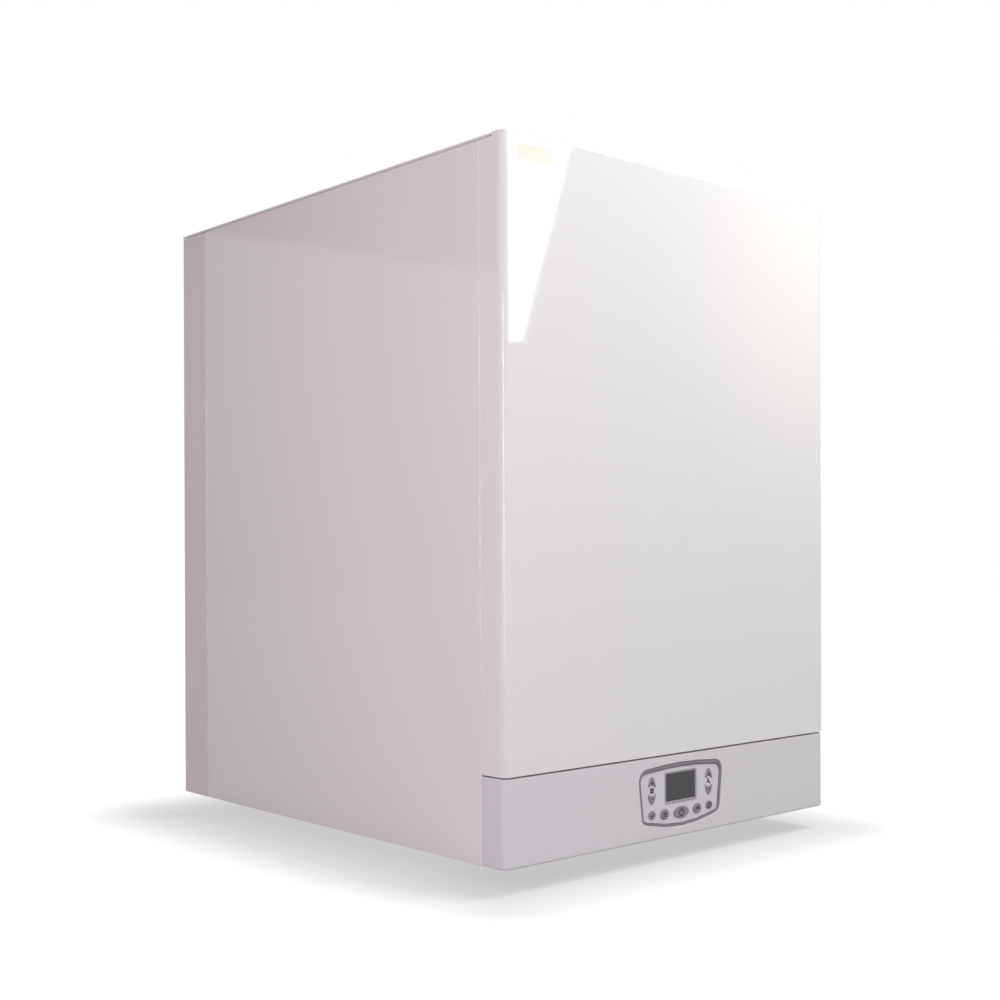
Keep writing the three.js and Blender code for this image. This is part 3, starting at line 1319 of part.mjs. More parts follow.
function makePumpBody() {
  const { volute, depth, port, nut, nutHeight } = pump;
  const back = -returnPipe.y + depth / 2;
  const body = turned("-y", [returnPipe.x, back, pump.height], [
    [0, 0], [volute - depth / 4, 0], [volute, depth / 4], [volute, depth * 0.7],
      [volute - depth / 8, depth],
    [0, depth],
  ]);
  const tube = rod("z", [returnPipe.x, -returnPipe.y, pumpLow], port, pump.reach * 2);
  const nuts = [pumpLow, pumpTop - nutHeight].map((z) => (
    slab("z", hexagon(returnPipe.x, -returnPipe.y, nut), z, z + nutHeight)
  ));
  return join(body, tube, ...nuts);
}

function makePumpMotor() {
  const face = -returnPipe.y - pump.depth / 2 - fit.gap;
  const { motorLength, boxHalf, boxDepth, boxLift } = pump;
  const body = turned("-y", [returnPipe.x, face, pump.height], [
    [0, 0], [pump.motor, 0], [pump.motor, motorLength * 0.8], [pump.motor * 0.92, motorLength * 0.86],
    [pump.motor * 0.92, motorLength * 0.95], [pump.motor * 0.8, motorLength], [0, motorLength],
  ]);
  const boxSolid = slab("y", softOutline(rectangle(
    returnPipe.x - boxHalf, returnPipe.x + boxHalf, pump.height + pump.motor - boxLift,
    pump.height + pump.motor + boxDepth - boxLift,
  ), boxLift / 2, facets.bend), face - boxLift, face - motorLength * 0.8);
  return join(body, boxSolid);
}

function makeVent() {
  const low = exchanger.height + shell + exchanger.bossReach + fit.gap;
  const { radius, height, foot, footHeight, cap, capHeight } = vent;
  const body = turned("z", [exchangerX, exchangerRear - vent.side, low], [
    [0, 0], [foot, 0], [foot, footHeight], [radius, footHeight], [radius, height - capHeight],
    [cap, height], [cap, height + capHeight], [0, height + capHeight],
  ]);
  const nozzle = rod("x", [exchangerX, exchangerRear - vent.side, low + height * 0.7], foot / 2,
    radius + foot,
    facets.small);
  return join(body, nozzle);
}

const valveFace = -flow.y - flow.radius - safety.seatLength - fit.gap;

function makeSafetyValve() {
  const body = turned("-y", [flowX, valveFace, safety.height], [
    [0, 0], [safety.bodyRadius - 2 * fit.embed, 0], [safety.bodyRadius, 2 * fit.embed],
    [safety.bodyRadius, safety.body], [safety.seat, safety.body],
      [safety.seat, safety.body + safety.seatLength],
    [0, safety.body + safety.seatLength],
  ]);
  const outlet = rod("-z", [flowX, valveFace - safety.body / 2, safety.height], safety.outlet,
    safety.bodyRadius + safety.outletReach);
  return join(body, outlet);
}

function makeSafetyKnob() {
  const face = valveFace - safety.body - fit.running;
  const count = safety.lobes * 4;
  const outline = Array.from({ length: count }, (_, i) => {
    const angle = (i / count) * 2 * Math.PI;
    const radius = safety.knob + safety.lobe * Math.cos(angle * safety.lobes);
    return [flowX + radius * Math.cos(angle), safety.height + radius * Math.sin(angle)];
  });
  const body = slab("y", outline, face, face - safety.knobLength);
  const socket = rod("-y", [flowX, face + fit.embed, safety.height], safety.seat + fit.gap,
    safety.seatLength + fit.embed + fit.running);
  return cut(body, socket);
}

const drainFace = -returnPipe.y - stubs.return.radius - drain.bossReach - fit.gap;

function makeDrainLever() {
  const face = drainFace - drain.bodyLength - fit.gap;
  const hub = rod("-y", [returnPipe.x, face, drainZ], drain.hub, drain.leverSheet * 2);
  const arm = slab("y", softOutline(rectangle(
    returnPipe.x, returnPipe.x + drain.lever, drainZ - drain.leverHalf, drainZ + drain.leverHalf,
  ), drain.leverHalf - fit.gap, facets.bend), face - drain.leverSheet / 2, face - drain.leverSheet * 1.5);
  const bore = rod("-y", [returnPipe.x, face + fit.embed, drainZ], drain.spindle + fit.gap,
    drain.spindleReach + fit.embed + fit.gap, facets.small);
  return cut(join(hub, arm), bore);
}

// Condensate trap

const siphonTop = sumpLow - sump.drainDrop - fit.gap;
const siphonOutletZ = siphon.bottom + (siphonTop - siphon.bottom) * shares.siphonShare;

function makeSiphonBody() {
  const { radius, bottom, outlet, outletReach } = siphon;
  const tall = siphonTop - bottom;
  const body = turned("z", [exchangerX, siphonY, bottom], [
    [0, 0], [radius - siphon.gripDepth, 0], [radius - siphon.gripDepth, siphon.cupOverlap],
    [radius, siphon.cupOverlap], [radius, tall - radius],
      [sump.drainRadius + siphon.gripDepth, tall - outlet],
    [sump.drainRadius + siphon.gripDepth, tall], [0, tall],
  ]);
  const spout = rod("x", [exchangerX, siphonY, siphonOutletZ], outlet, radius + outletReach);
  return join(body, spout);
}

function makeSiphonCup() {
  const { radius, bottom, cup, cupBottom, cupOverlap, grip, gripDepth } = siphon;
  const tall = bottom + cupOverlap - fit.gap - cupBottom;
  const floorTop = bottom - fit.gap - cupBottom;
  const seat = radius - gripDepth + fit.gap;
  const body = turned("z", [exchangerX, siphonY, cupBottom], [
    [0, 0], [cup * 0.7, 0], [cup, cup * 0.4], [cup, tall], [seat, tall], [seat, floorTop], [0, floorTop],
  ]);
  const grooves = Array.from({ length: grip }, (_, i) => {
    const angle = (i / grip) * 2 * Math.PI;
    return rod("z", [exchangerX + (cup + gripDepth) * Math.cos(angle), siphonY + (cup + gripDepth)
      * Math.sin(angle), cupBottom - fit.overrun], gripDepth * 2, floorTop, 6);
  });
  return cut(body, ...grooves);
}

// A ribbed hose: rings of two radii along its line, with plain ends and its bore. Its foot goes out
// through the base.
function makeHose() {
  const stations = rounded(vectors([
    [hoseStart, siphonY, siphonOutletZ], [hoseX, siphonY, siphonOutletZ], [hoseX, siphonY, -connector.drop],
  ]), hose.bend, facets.corner);
  const lengths = [0];
  stations.slice(1).forEach((point, i) => lengths.push(lengths[i] + point.distanceTo(stations[i])));
  const total = lengths[lengths.length - 1];
  const at = (distance) => {
    let i = 0;
    while (i < stations.length - 2 && lengths[i + 1] < distance) i += 1;
    const share = (distance - lengths[i]) / (lengths[i + 1] - lengths[i]);
    return stations[i].clone().lerp(stations[i + 1], share);
  };
  const side = new THREE.Vector3(0, 1, 0);
  const circle = (distance, radius) => {
    const step = hose.pitch / 4;
    const ahead = at(Math.min(distance + step, total));
    const behind = at(Math.max(distance - step, 0));
    const up = ahead.sub(behind).normalize().cross(side).normalize();
    const centre = at(distance);
    return Array.from({ length: hose.sides }, (_, j) => {
      const angle = (j / hose.sides) * 2 * Math.PI;
      return centre.clone().addScaledVector(side, radius * Math.cos(angle))
        .addScaledVector(up, radius * Math.sin(angle));
    });
  };
  const first = hose.radius * 2;
  const ribs = Math.floor((total - first - connector.top - connector.drop) / hose.pitch);
  const rings = [circle(0, hose.radius)];
  for (let i = 0; i < ribs; i += 1) {
    const place = first + i * hose.pitch;
    rings.push(circle(place, hose.radius), circle(place + hose.pitch / 2, hose.radius + hose.rib));
  }
  rings.push(circle(first + ribs * hose.pitch, hose.radius), circle(total, hose.radius));
  const every = 5;
  const bore = [circle(total, hose.bore)];
  for (let i = ribs; i >= 0; i -= every) bore.push(circle(first + i * hose.pitch, hose.bore));
  bore.push(circle(0, hose.bore));
  tellGap("condensate hose", rings, Math.ceil((hose.bend * Math.PI) / hose.pitch));
  return skin([...rings, ...bore], true);
}

piece("wall_bracket", makeWallBracket(), "galvanised");
piece("back_panel", makeBackPanel(), "galvanised");
piece("left_upright", makeUpright(-1), "rearEnamel");
piece("right_upright", makeUpright(1), "rearEnamel");
piece("left_side_panel", makeSidePanel(-1), "sideEnamel");
piece("right_side_panel", makeSidePanel(1), "sideEnamel");
piece("top_panel", makeTopPanel(), "sideEnamel");
piece("base_panel", makeBasePanel(), "galvanised");
piece("lower_rail", makeFrontRail(cover.bottom + rail.above), "galvanised");
piece("front_cover", makeFrontCover(), "enamel");
piece("cover_seal", makeCoverSeal(), "rubber");

piece("control_fascia", makeFascia(), "fasciaWhite");
piece("bezel_ring", makeBezelRing(), "darkGrey");
piece("keypad_plate", makeKeypadPlate(), "paleGrey");
piece("display_frame", makeDisplayFrame(), "darkGrey");
piece("display_glass", makeDisplayGlass(), "screen");
piece("display_board", makeDisplayBoard(), "boardGreen");
piece("control_box", makeControlBox(), "blackPlastic");
piece("control_box_cover", makeControlBoxCover(), "blackPlastic");
piece("main_board", makeMainBoard(), "boardGreen");
Object.entries(buttonOutlines()).forEach(([name, outline]) => piece(name, makeButton(outline), "keys"));

piece("exchanger_shell", makeExchangerShell(), "aluminium");
piece("exchanger_coil", makeCoil(), "steel");
piece("condensate_sump", makeSump(), "greyPlastic");
piece("burner_door", makeBurnerDoor(), "aluminium");
piece("door_insulation", makeInsulation(), "fibre");
piece("burner_tube", makeBurner(), "steel");
piece("ignition_electrode", makeElectrode(), "ceramic");

piece("fan_housing", makeFanHousing(), "aluminium");
piece("fan_impeller", makeImpeller(), "aluminium");
piece("fan_motor", makeFanMotor(), "iron");
piece("air_gas_mixer", makeMixer(), "aluminium");
piece("gas_valve", makeGasValve(), "aluminium");
piece("gas_pipe", makeGasPipe(), "copper");
piece("air_silencer", makeSilencer(), "blackPlastic");
piece("air_collar", makeCollar(fanX, airCollarY), "white");
piece("flue_collar", makeCollar(flueX, flueY), "white");
piece("flue_duct", makeFlueDuct(), "white");

piece("flow_connector", makeStub(stubs.flow), "brass");
piece("return_connector", makeReturnConnector(), "brass");
piece("gas_connector", makeStub(stubs.gas), "brass");
piece("flow_pipe", makeFlowPipe(), "copper");
piece("return_pipe", makeReturnPipe(), "copper");
piece("pump_body", makePumpBody(), "iron");
piece("pump_motor", makePumpMotor(), "blackPlastic");
piece("air_vent", makeVent(), "brass");
piece("safety_valve", makeSafetyValve(), "brass");
piece("safety_knob", makeSafetyKnob(), "red");
piece("drain_lever", makeDrainLever(), "red");
piece("siphon_body", makeSiphonBody(), "greyPlastic");
piece("siphon_cup", makeSiphonCup(), "greyPlastic");
piece("condensate_hose", makeHose(), "greyPlastic");

export default part;
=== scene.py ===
"""Dresses a wall-hung gas boiler: enamelled casing, control strip, works, lamps and camera.

Lengths in the settings are in metres. Shapes are drawn in millimetres on the casing, whose lower edge is
height zero, and placed in the frame by one function.
"""
import json
import math
from types import SimpleNamespace

import bmesh
import bpy
from bpy.props import FloatProperty, FloatVectorProperty, IntProperty, PointerProperty
from mathutils import Matrix, Vector


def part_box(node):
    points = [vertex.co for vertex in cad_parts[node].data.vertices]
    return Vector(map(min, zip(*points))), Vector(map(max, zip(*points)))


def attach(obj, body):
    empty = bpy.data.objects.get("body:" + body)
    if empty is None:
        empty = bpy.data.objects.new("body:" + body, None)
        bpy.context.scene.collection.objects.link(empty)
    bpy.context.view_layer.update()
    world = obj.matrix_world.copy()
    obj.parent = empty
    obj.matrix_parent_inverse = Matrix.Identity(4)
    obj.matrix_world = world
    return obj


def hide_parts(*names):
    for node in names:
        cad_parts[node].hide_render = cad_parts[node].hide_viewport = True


bl_info = {
    "name": "Wall-hung gas boiler",
    "version": (1, 0, 0),
    "blender": (4, 5, 0),
    "location": "View3D > Sidebar > Boiler",
    "description": "Gives the boiler its enamel, controls, works, lamps and camera",
    "category": "Object",
}

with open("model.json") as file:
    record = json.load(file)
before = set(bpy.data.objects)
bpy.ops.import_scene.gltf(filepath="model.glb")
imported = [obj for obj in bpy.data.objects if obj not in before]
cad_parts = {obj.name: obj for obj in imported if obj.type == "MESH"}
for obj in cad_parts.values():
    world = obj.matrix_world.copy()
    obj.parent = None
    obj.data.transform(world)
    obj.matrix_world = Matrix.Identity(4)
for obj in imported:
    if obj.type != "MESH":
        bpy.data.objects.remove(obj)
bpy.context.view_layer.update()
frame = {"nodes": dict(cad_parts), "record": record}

MM = 0.001
CASING_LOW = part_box("left_side_panel")[0].z
body_of_node = {
    node: body for body, nodes in frame["record"]["behaviour"]["bodies"].items() for node in nodes
}


def place(x, y, z):
    """A point in millimetres on the casing, in the frame's metres."""
    return Vector((x * MM, y * MM, CASING_LOW + z * MM))


def extent(node):
    """The low and high corners of a CAD node, in millimetres on the casing."""
    return [SimpleNamespace(x=corner.x / MM, y=corner.y / MM, z=(corner.z - CASING_LOW) / MM)
            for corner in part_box(node)]


# Colour and nodes


def linear(code):
    """The linear colour of an sRGB hex value."""
    shares = [int(code[i:i + 2], 16) / 255 for i in (0, 2, 4)]
    return tuple(s / 12.92 if s <= 0.04045 else ((s + 0.055) / 1.055) ** 2.4 for s in shares)


def shade(colour, share, limit=1.0):
    """The same colour at another strength."""
    return tuple(min(c * share, limit) for c in colour)


def add_node(tree, kind, sockets=None, **settings):
    """Adds a shader node, sets its options, and fills or links its sockets."""
    made = tree.nodes.new("ShaderNode" + kind)
    for name, value in settings.items():
        setattr(made, name, value)
    for socket, value in (sockets or {}).items():
        if isinstance(value, bpy.types.NodeSocket):
            tree.links.new(value, made.inputs[socket])
        else:
            made.inputs[socket].default_value = value
    return made


def empty_tree(owner):
    """The node tree of a material or world, with nothing in it."""
    owner.use_nodes = True
    owner.node_tree.nodes.clear()
    return owner.node_tree


class Finish:
    """A material with its shader wired up, and patterns that follow each point's place in metres."""

    def __init__(self, name, colour, roughness, metallic=0.0, **extra):
        self.colour = colour
        self.material = bpy.data.materials.new(name)
        self.tree = empty_tree(self.material)
        self.shader = self.node("BsdfPrincipled", {
            "Base Color": (*colour, 1.0), "Roughness": roughness, "Metallic": metallic, **extra,
        })
        self.node("OutputMaterial", {"Surface": self.shader.outputs["BSDF"]})
        self.where = self.node("TexCoord").outputs["Object"]

    def node(self, kind, sockets=None, **settings):
        return add_node(self.tree, kind, sockets, **settings)

    def drive(self, output, socket):
        """Lets a node's output run one of the shader's sockets."""
        self.tree.links.new(output, self.shader.inputs[socket])

    def noise(self, grain_mm, detail, distortion=0.0):
        """A cloudy pattern whose grains are about so many millimetres across."""
        return self.node("TexNoise", {
            "Vector": self.where, "Scale": 1 / (grain_mm * MM), "Detail": detail, "Distortion": distortion,
        }).outputs["Fac"]

    def cells(self, cell_mm, randomness=1.0, **settings):
        """A pattern of cells about so many millimetres apart."""
        return self.node("TexVoronoi", {
            "Vector": self.where, "Scale": 1 / (cell_mm * MM), "Randomness": randomness,
        }, **settings).outputs

    def ranged(self, value, **limits):
        """A value taken from one range to another."""
        sockets = {name.replace("_", " ").title(): limit for name, limit in limits.items()}
        return self.node("MapRange", {"Value": value, **sockets}).outputs["Result"]

    def relief(self, height, depth_mm, below=None):
        """Raises the surface by a height pattern, over another relief when there is one below."""
        sockets = {"Height": height, "Distance": depth_mm * MM, "Strength": 1.0}
        if below is not None:
            sockets["Normal"] = below
        normal = self.node("Bump", sockets).outputs["Normal"]
        self.drive(normal, "Normal")
        return normal

    def blend(self, share, first, second):
        """Lets a pattern's share run the colour from the first to the second."""
        mix = self.node("Mix", {
            "Factor": share, "A": (*first, 1.0), "B": (*second, 1.0),
        }, data_type="RGBA")
        self.drive(mix.outputs["Result"], "Base Color")

    def tint(self, share, dark, light):
        """Lets a pattern's share run the colour's strength from dark to light."""
        self.blend(share, shade(self.colour, dark), shade(self.colour, light))


def enamelled_steel(name, colour, roughness):
    """Pressed steel sheet with stoved powder enamel: a hard gloss over a faint orange peel, on a sheet that
    waves a little from its rolling, so that reflections bend."""
    finish = Finish(name, colour, roughness, IOR=1.5)
    wave = finish.relief(finish.noise(180, detail=1.0), 0.16)
    finish.relief(finish.noise(3.5, detail=2.0), 0.007, wave)
    return finish.material


def galvanised_sheet(name, colour):
    """Hot-dip zinc on steel: matt metal with large pale crystals, here 9 mm across."""
    finish = Finish(name, colour, 0.42, 0.9)
    grey = finish.node("SeparateColor", {"Color": finish.cells(9)["Color"]}).outputs
    finish.tint(grey["Red"], 0.78, 1.12)
    finish.drive(finish.ranged(grey["Green"], to_min=0.32, to_max=0.5), "Roughness")
    return finish.material


def moulded_plastic(name, colour, roughness, grain_mm=0.8, depth_mm=0.012):
    """ABS or polypropylene from a spark-eroded mould: an even fine grain that softens the highlights."""
    finish = Finish(name, colour, roughness, IOR=1.5)
    finish.relief(finish.noise(grain_mm, detail=3.0), depth_mm)
    finish.tint(finish.noise(45, detail=2.0), 0.97, 1.03)
    return finish.material


def cast_metal(name, colour, metallic, roughness, sand_mm=1.4):
    """Sand or pressure casting: a pitted skin, darker in its hollows."""
    finish = Finish(name, colour, roughness, metallic)
    sand = finish.noise(sand_mm, detail=4.0)
    finish.relief(sand, 0.12)
    finish.tint(sand, 0.7, 1.15)
    return finish.material


def drawn_metal(name, colour, roughness, along, line_mm=0.5):
    """Rolled or turned metal: fine lines that run one way, and a light tarnish in clouds."""
    finish = Finish(name, colour, roughness, 1.0)
    stretch = Vector((1, 1, 1)) / (line_mm * MM)
    stretch["xyz".index(along)] *= 0.02
    drawn = finish.node("Mapping", {"Vector": finish.where, "Scale": stretch}).outputs["Vector"]
    lines = finish.node("TexNoise", {"Vector": drawn, "Scale": 1.0, "Detail": 2.0})
    finish.relief(lines.outputs["Fac"], 0.01)
    finish.tint(finish.noise(28, detail=3.0), 0.72, 1.1)
    return finish.material


def foam_rubber(name, colour):
    """Closed-cell rubber foam: dull black with open pores on its cut faces."""
    finish = Finish(name, colour, 0.85)
    pores = finish.cells(1.1)["Distance"]
    finish.relief(pores, 0.15)
    finish.tint(pores, 0.6, 1.5)
    return finish.material


def circuit_board(name, colour, copper):
    """Glass-fibre board under green solder resist, with its copper tracks showing as paler lines."""
    finish = Finish(name, colour, 0.35, IOR=1.55)
    tracks = finish.cells(7, feature="F2", distance="MANHATTAN")
    edge = finish.ranged(tracks["Distance"], from_min=0.62, from_max=0.66)
    finish.blend(edge, colour, copper)
    return finish.material


def pressed_fibre(name, colour):
    """Ceramic fibre board: matt, pale, with short fibres pressed flat."""
    finish = Finish(name, colour, 0.95)
    fibres = finish.noise(2, detail=6.0, distortion=2.0)
    finish.relief(fibres, 0.2)
    finish.tint(fibres, 0.85, 1.05)
    return finish.material


def glazed_ceramic(name, colour):
    """Alumina with a clear glaze: smooth and a little creamy."""
    finish = Finish(name, colour, 0.18, **{"Coat Weight": 0.4})
    finish.tint(finish.noise(1.5, detail=2.0), 0.94, 1.0)
    return finish.material


def display_glass(name, colour, pitch_mm):
    """Clear window over a liquid crystal panel that is off: dark and glossy, with a faint grid of dots."""
    finish = Finish(name, colour, 0.2, IOR=1.45)
    dots = finish.cells(pitch_mm, randomness=0.0, distance="CHEBYCHEV")
    finish.tint(finish.ranged(dots["Distance"], from_min=0.36, from_max=0.5), 1.0, 1.25)
    return finish.material


def printed_ink(name, colour):
    """Screen-printed ink: flat and matt, with a slightly uneven cover."""
    finish = Finish(name, colour, 0.6)
    finish.tint(finish.noise(0.6, detail=2.0), 0.85, 1.2)
    return finish.material


def blank_label(name, colour):
    """Bare coated paper: satin with a faint fibre, duller than the enamel round it."""
    finish = Finish(name, colour, 0.16, **{"Specular IOR Level": 0.3})
    fibre = finish.noise(1.2, detail=5.0)
    finish.relief(fibre, 0.02)
    finish.tint(fibre, 0.95, 1.0)
    return finish.material


def clear_film(name, colour):
    """Clear polyester film: only its gloss and a slight unevenness show."""
    finish = Finish(name, colour, 0.12, IOR=1.5, Alpha=0.1)
    finish.relief(finish.noise(15, detail=3.0), 0.05)
    return finish.material


# Shapes

SHARP_DEG = 50.0


def new_object(name, data):
    """An object in the scene."""
    made = bpy.data.objects.new(name, data)
    bpy.context.scene.collection.objects.link(made)
    return made


def piece_from(name, points, faces, material, body, node=None, smooth_deg=35.0):
    """Makes a mesh piece that rides on a body, and stands for a CAD node when one is named."""
    mesh = bpy.data.meshes.new(name)
    mesh.from_pydata([tuple(p) for p in points], [], faces)
    work = bmesh.new()
    work.from_mesh(mesh)
    bmesh.ops.recalc_face_normals(work, faces=work.faces)
    work.to_mesh(mesh)
    work.free()
    return finish_piece(new_object(name, mesh), material, body, node, smooth_deg)


def finish_piece(made, material, body, node, smooth_deg):
    """Smooths a piece up to an angle, gives it its finish and lets it ride."""
    mesh = made.data
    mesh.materials.clear()
    mesh.materials.append(material)
    mesh.polygons.foreach_set("use_smooth", [True] * len(mesh.polygons))
    mesh.set_sharp_from_angle(angle=math.radians(smooth_deg))
    flatten = made.modifiers.new("keep flat faces flat", "WEIGHTED_NORMAL")
    flatten.weight = 100
    flatten.keep_sharp = True
    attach(made, body)
    if node:
        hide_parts(node)
    return made


def loft(name, rings, material, body, node=None, endless=False, smooth_deg=35.0):
    """Skins rings of points in the order given, capped at both ends or closed on themselves."""
    sides = len(rings[0])
    points = [p for ring in rings for p in ring]
    bands = len(rings) if endless else len(rings) - 1
    faces = []
    for i in range(bands):
        for j in range(sides):
            following = (j + 1) % sides
            above = (i + 1) % len(rings) * sides
            faces.append((i * sides + j, i * sides + following, above + following, above + j))
    if not endless:
        faces.append(tuple(range(sides)))
        faces.append(tuple(range((len(rings) - 1) * sides, len(rings) * sides)))
    return piece_from(name, points, faces, material, body, node, smooth_deg)


def refined(node, material, edge_mm=0.0, smooth_deg=35.0, front_only=False):
    """A fine copy of a rigid CAD node: shared corners, smooth curves and a broken edge, all round or only on
    its front face."""
    weld, flat_deg, front_depth = MM / 1000, 1, MM / 20
    mesh = frame["nodes"][node].data.copy()
    work = bmesh.new()
    work.from_mesh(mesh)
    bmesh.ops.remove_doubles(work, verts=work.verts, dist=weld)
    bmesh.ops.dissolve_limit(work, angle_limit=math.radians(flat_deg), verts=work.verts, edges=work.edges)
    if edge_mm:
        limit = min(v.co.y for v in work.verts) + front_depth if front_only else math.inf
        sharp = [e for e in work.edges
                 if len(e.link_faces) == 2 and e.calc_face_angle() > math.radians(SHARP_DEG)
                 and max(v.co.y for v in e.verts) < limit]
        bmesh.ops.bevel(work, geom=sharp, offset=edge_mm * MM, offset_type="OFFSET", segments=2, profile=0.6,
                        affect="EDGES", clamp_overlap=True)
    work.to_mesh(mesh)
    work.free()
    return finish_piece(new_object("fine_" + node, mesh), material, body_of_node[node], node, smooth_deg)


def dressed(node, material):
    """Gives a CAD node that keeps its own shape its finish."""
    mesh = frame["nodes"][node].data
    mesh.materials.clear()
    mesh.materials.append(material)


def offset(outline, distance):
    """Moves each side of a closed outline, drawn anticlockwise, outwards by a distance."""
    least_reach = 0.6
    moved = []
    for i, point in enumerate(outline):
        before = (point - outline[i - 1]).normalized()
        after = (outline[(i + 1) % len(outline)] - point).normalized()
        away = Vector((before.y + after.y, -before.x - after.x)).normalized()
        reach = max(away.dot(Vector((before.y, -before.x))), least_reach)
        moved.append(point + away * distance / reach)
    return moved


def drawn_in(outline, distance):
    """Moves each point of an outline towards its middle, so that thin horns stay inside themselves."""
    middle = sum(outline, Vector((0, 0))) / len(outline)
    return [point + (middle - point).normalized() * distance for point in outline]


def ellipse(x, z, wide, high, count=48):
    """A closed ellipse round a centre."""
    return [Vector((x + wide / 2 * math.cos(a), z + high / 2 * math.sin(a)))
            for a in (2 * math.pi * i / count for i in range(count))]


def rounded_outline(corners, radii, steps=8):
    """A closed outline whose corners are turned to arcs."""
    result = []
    count = len(corners)
    for i, corner in enumerate(corners):
        here = Vector(corner)
        if not radii[i]:
            result.append(here)
            continue
        back = (Vector(corners[i - 1]) - here).normalized()
        ahead = (Vector(corners[(i + 1) % count]) - here).normalized()
        opening = back.angle(ahead)
        reach = radii[i] / math.tan(opening / 2)
        centre = here + (back + ahead).normalized() * radii[i] / math.sin(opening / 2)
        start = here + back * reach - centre
        end = here + ahead * reach - centre
        swing = start.angle(end)
        for step in range(steps + 1):
            share = step / steps
            arm = (start * math.sin((1 - share) * swing) + end * math.sin(share * swing)) / math.sin(swing)
            result.append(centre + arm)
    return result


def rounded_box(x0, x1, z0, z1, radius, steps=8):
    """A rectangle whose four corners have one radius, anticlockwise."""
    return rounded_outline([(x0, z0), (x1, z0), (x1, z1), (x0, z1)], [radius] * 4, steps)


def at_depth(outline, y):
    """An outline as a ring of frame points at one depth."""
    return [place(p.x, y, p.y) for p in outline]


def ribbon(line, half, closed=False):
    """The two sides of a line drawn with a pen of the given half width."""
    least_reach = 0.4
    left, right = [], []
    count = len(line)
    for i, point in enumerate(line):
        runs = []
        if i or closed:
            runs.append((point - line[i - 1]).normalized())
        if i < count - 1 or closed:
            runs.append((line[(i + 1) % count] - point).normalized())
        run = sum(runs, Vector((0, 0))).normalized()
        across = Vector((-run.y, run.x))
        reach = max(across.dot(Vector((-runs[0].y, runs[0].x))), least_reach)
        left.append(point + across * half / reach)
        right.append(point - across * half / reach)
    return left, right


class Mark:
    """Flat marks in one ink, gathered into one thin mesh in front of a face."""

    def __init__(self, x, z, y):
        self.x, self.z, self.y = x, z, y
        self.points, self.faces = [], []

    def patch(self, outline):
        start = len(self.points)
        self.points += [place(self.x + x, self.y, self.z + z) for x, z in outline]
        self.faces.append(tuple(range(start, len(self.points))))

    def line(self, points, half, closed=False):
        left, right = ribbon([Vector(p) for p in points], half, closed)
        count = len(left)
        for i in range(count if closed else count - 1):
            following = (i + 1) % count
            self.patch([left[i], right[i], right[following], left[following]])

    def ring(self, radius, half, start=0.0, end=360.0, steps=28):
        whole = end - start >= 360
        count = steps if whole else steps + 1
        angles = [math.radians(start + (end - start) * i / steps) for i in range(count)]
        self.line([(radius * math.cos(a), radius * math.sin(a)) for a in angles], half, whole)

    def make(self, name, material, body):
        return piece_from(name, self.points, self.faces, material, body)


class Route:
    """A line across the casing at one depth, and the rings of a tube that follows it."""

    def __init__(self, line, y):
        self.line, self.y = line, y
        self.stations = [0.0]
        for here, following in zip(line, line[1:]):
            self.stations.append(self.stations[-1] + (following - here).length)
        self.length = self.stations[-1]

    def at(self, distance):
        i = max(k for k in range(len(self.line) - 1) if self.stations[k] <= distance + 1e-9)
        share = (distance - self.stations[i]) / (self.stations[i + 1] - self.stations[i])
        return self.line[i].lerp(self.line[i + 1], share)

    def ring(self, distance, radius, sides=24, near=1.0):
        run = self.at(min(distance + near, self.length)) - self.at(max(distance - near, 0.0))
        run.normalize()
        up = Vector((-run.y, run.x))
        here = self.at(min(distance, self.length))
        points = []
        for j in range(sides):
            angle = 2 * math.pi * j / sides
            point = here + up * radius * math.sin(angle)
            points.append(place(point.x, self.y + radius * math.cos(angle), point.y))
        return points


# Settings


def tone(name, description, code):
    """A colour setting whose default is an sRGB hex value."""
    return FloatVectorProperty(name=name, description=description, subtype="COLOR", default=linear(code))


def number(name, description, default, **extra):
    """A setting that is one number."""
    return FloatProperty(name=name, description=description, default=default, **extra)


class BoilerStageSettings(bpy.types.PropertyGroup):
    """Lamps, backdrop and camera"""

    backdrop: tone("Backdrop", "Colour of the floor", "989898")
    drop: number("Drop", "Height of the stubs' ends over the floor", 0.002, unit="LENGTH")
    key_power: number("Key", "Power of the key lamp", 29.2, unit="POWER")
    fill_power: number("Fill", "Power of the fill lamp", 13.2, unit="POWER")
    sky: number("Sky", "Brightness of the room", 0.32)
    # Painted shadow: this glow is less than the white far off, so the floor round the boiler's footprint
    # looks darker.
    glow: number("Glow", "Light that the floor under the boiler adds to the viewer's rays", 0.53)
    window: number("Window", "Brightness of the window seen in the gloss", 7.0)
    lens: number("Lens", "Focal length in millimetres", 50.503)


class BoilerCasingSettings(bpy.types.PropertyGroup):
    """Finishes of the casing"""

    cover: tone("Cover", "Enamel of the front cover", "F2F0F0")
    side: tone("Sides", "Enamel of the side panels", "F1EEEF")
    # Painted shade: the rear uprights take the sides' enamel made darker and warmer, and the lid shares it.
    strip: tone("Rear strips", "Enamel of the rear uprights and the lid", "E6DFDF")
    zinc: tone("Zinc", "Galvanised sheet", "B9B6B4")
    label: tone("Label", "Bare paper label", "F7F4E6")


class BoilerControlSettings(bpy.types.PropertyGroup):
    """Finishes and sizes of the control strip"""

    fascia: tone("Fascia", "Moulded strip", "E4E1E5")
    # Partly the ring's own colour and partly painted shade of the recess round the plate.
    bezel: tone("Bezel", "Ring round the controls", "7D797E")
    plate: tone("Plate", "Plate behind the buttons", "E0DDE3")
    key: tone("Buttons", "Push buttons", "8C888E")
    ink: tone("Marks", "Printed marks", "1F1E21")
    screen: tone("Screen", "Display that is off", "2B292C")
    dot_pitch: number("Dot pitch", "Spacing of the display's dots", 0.0007, unit="LENGTH", precision=5)


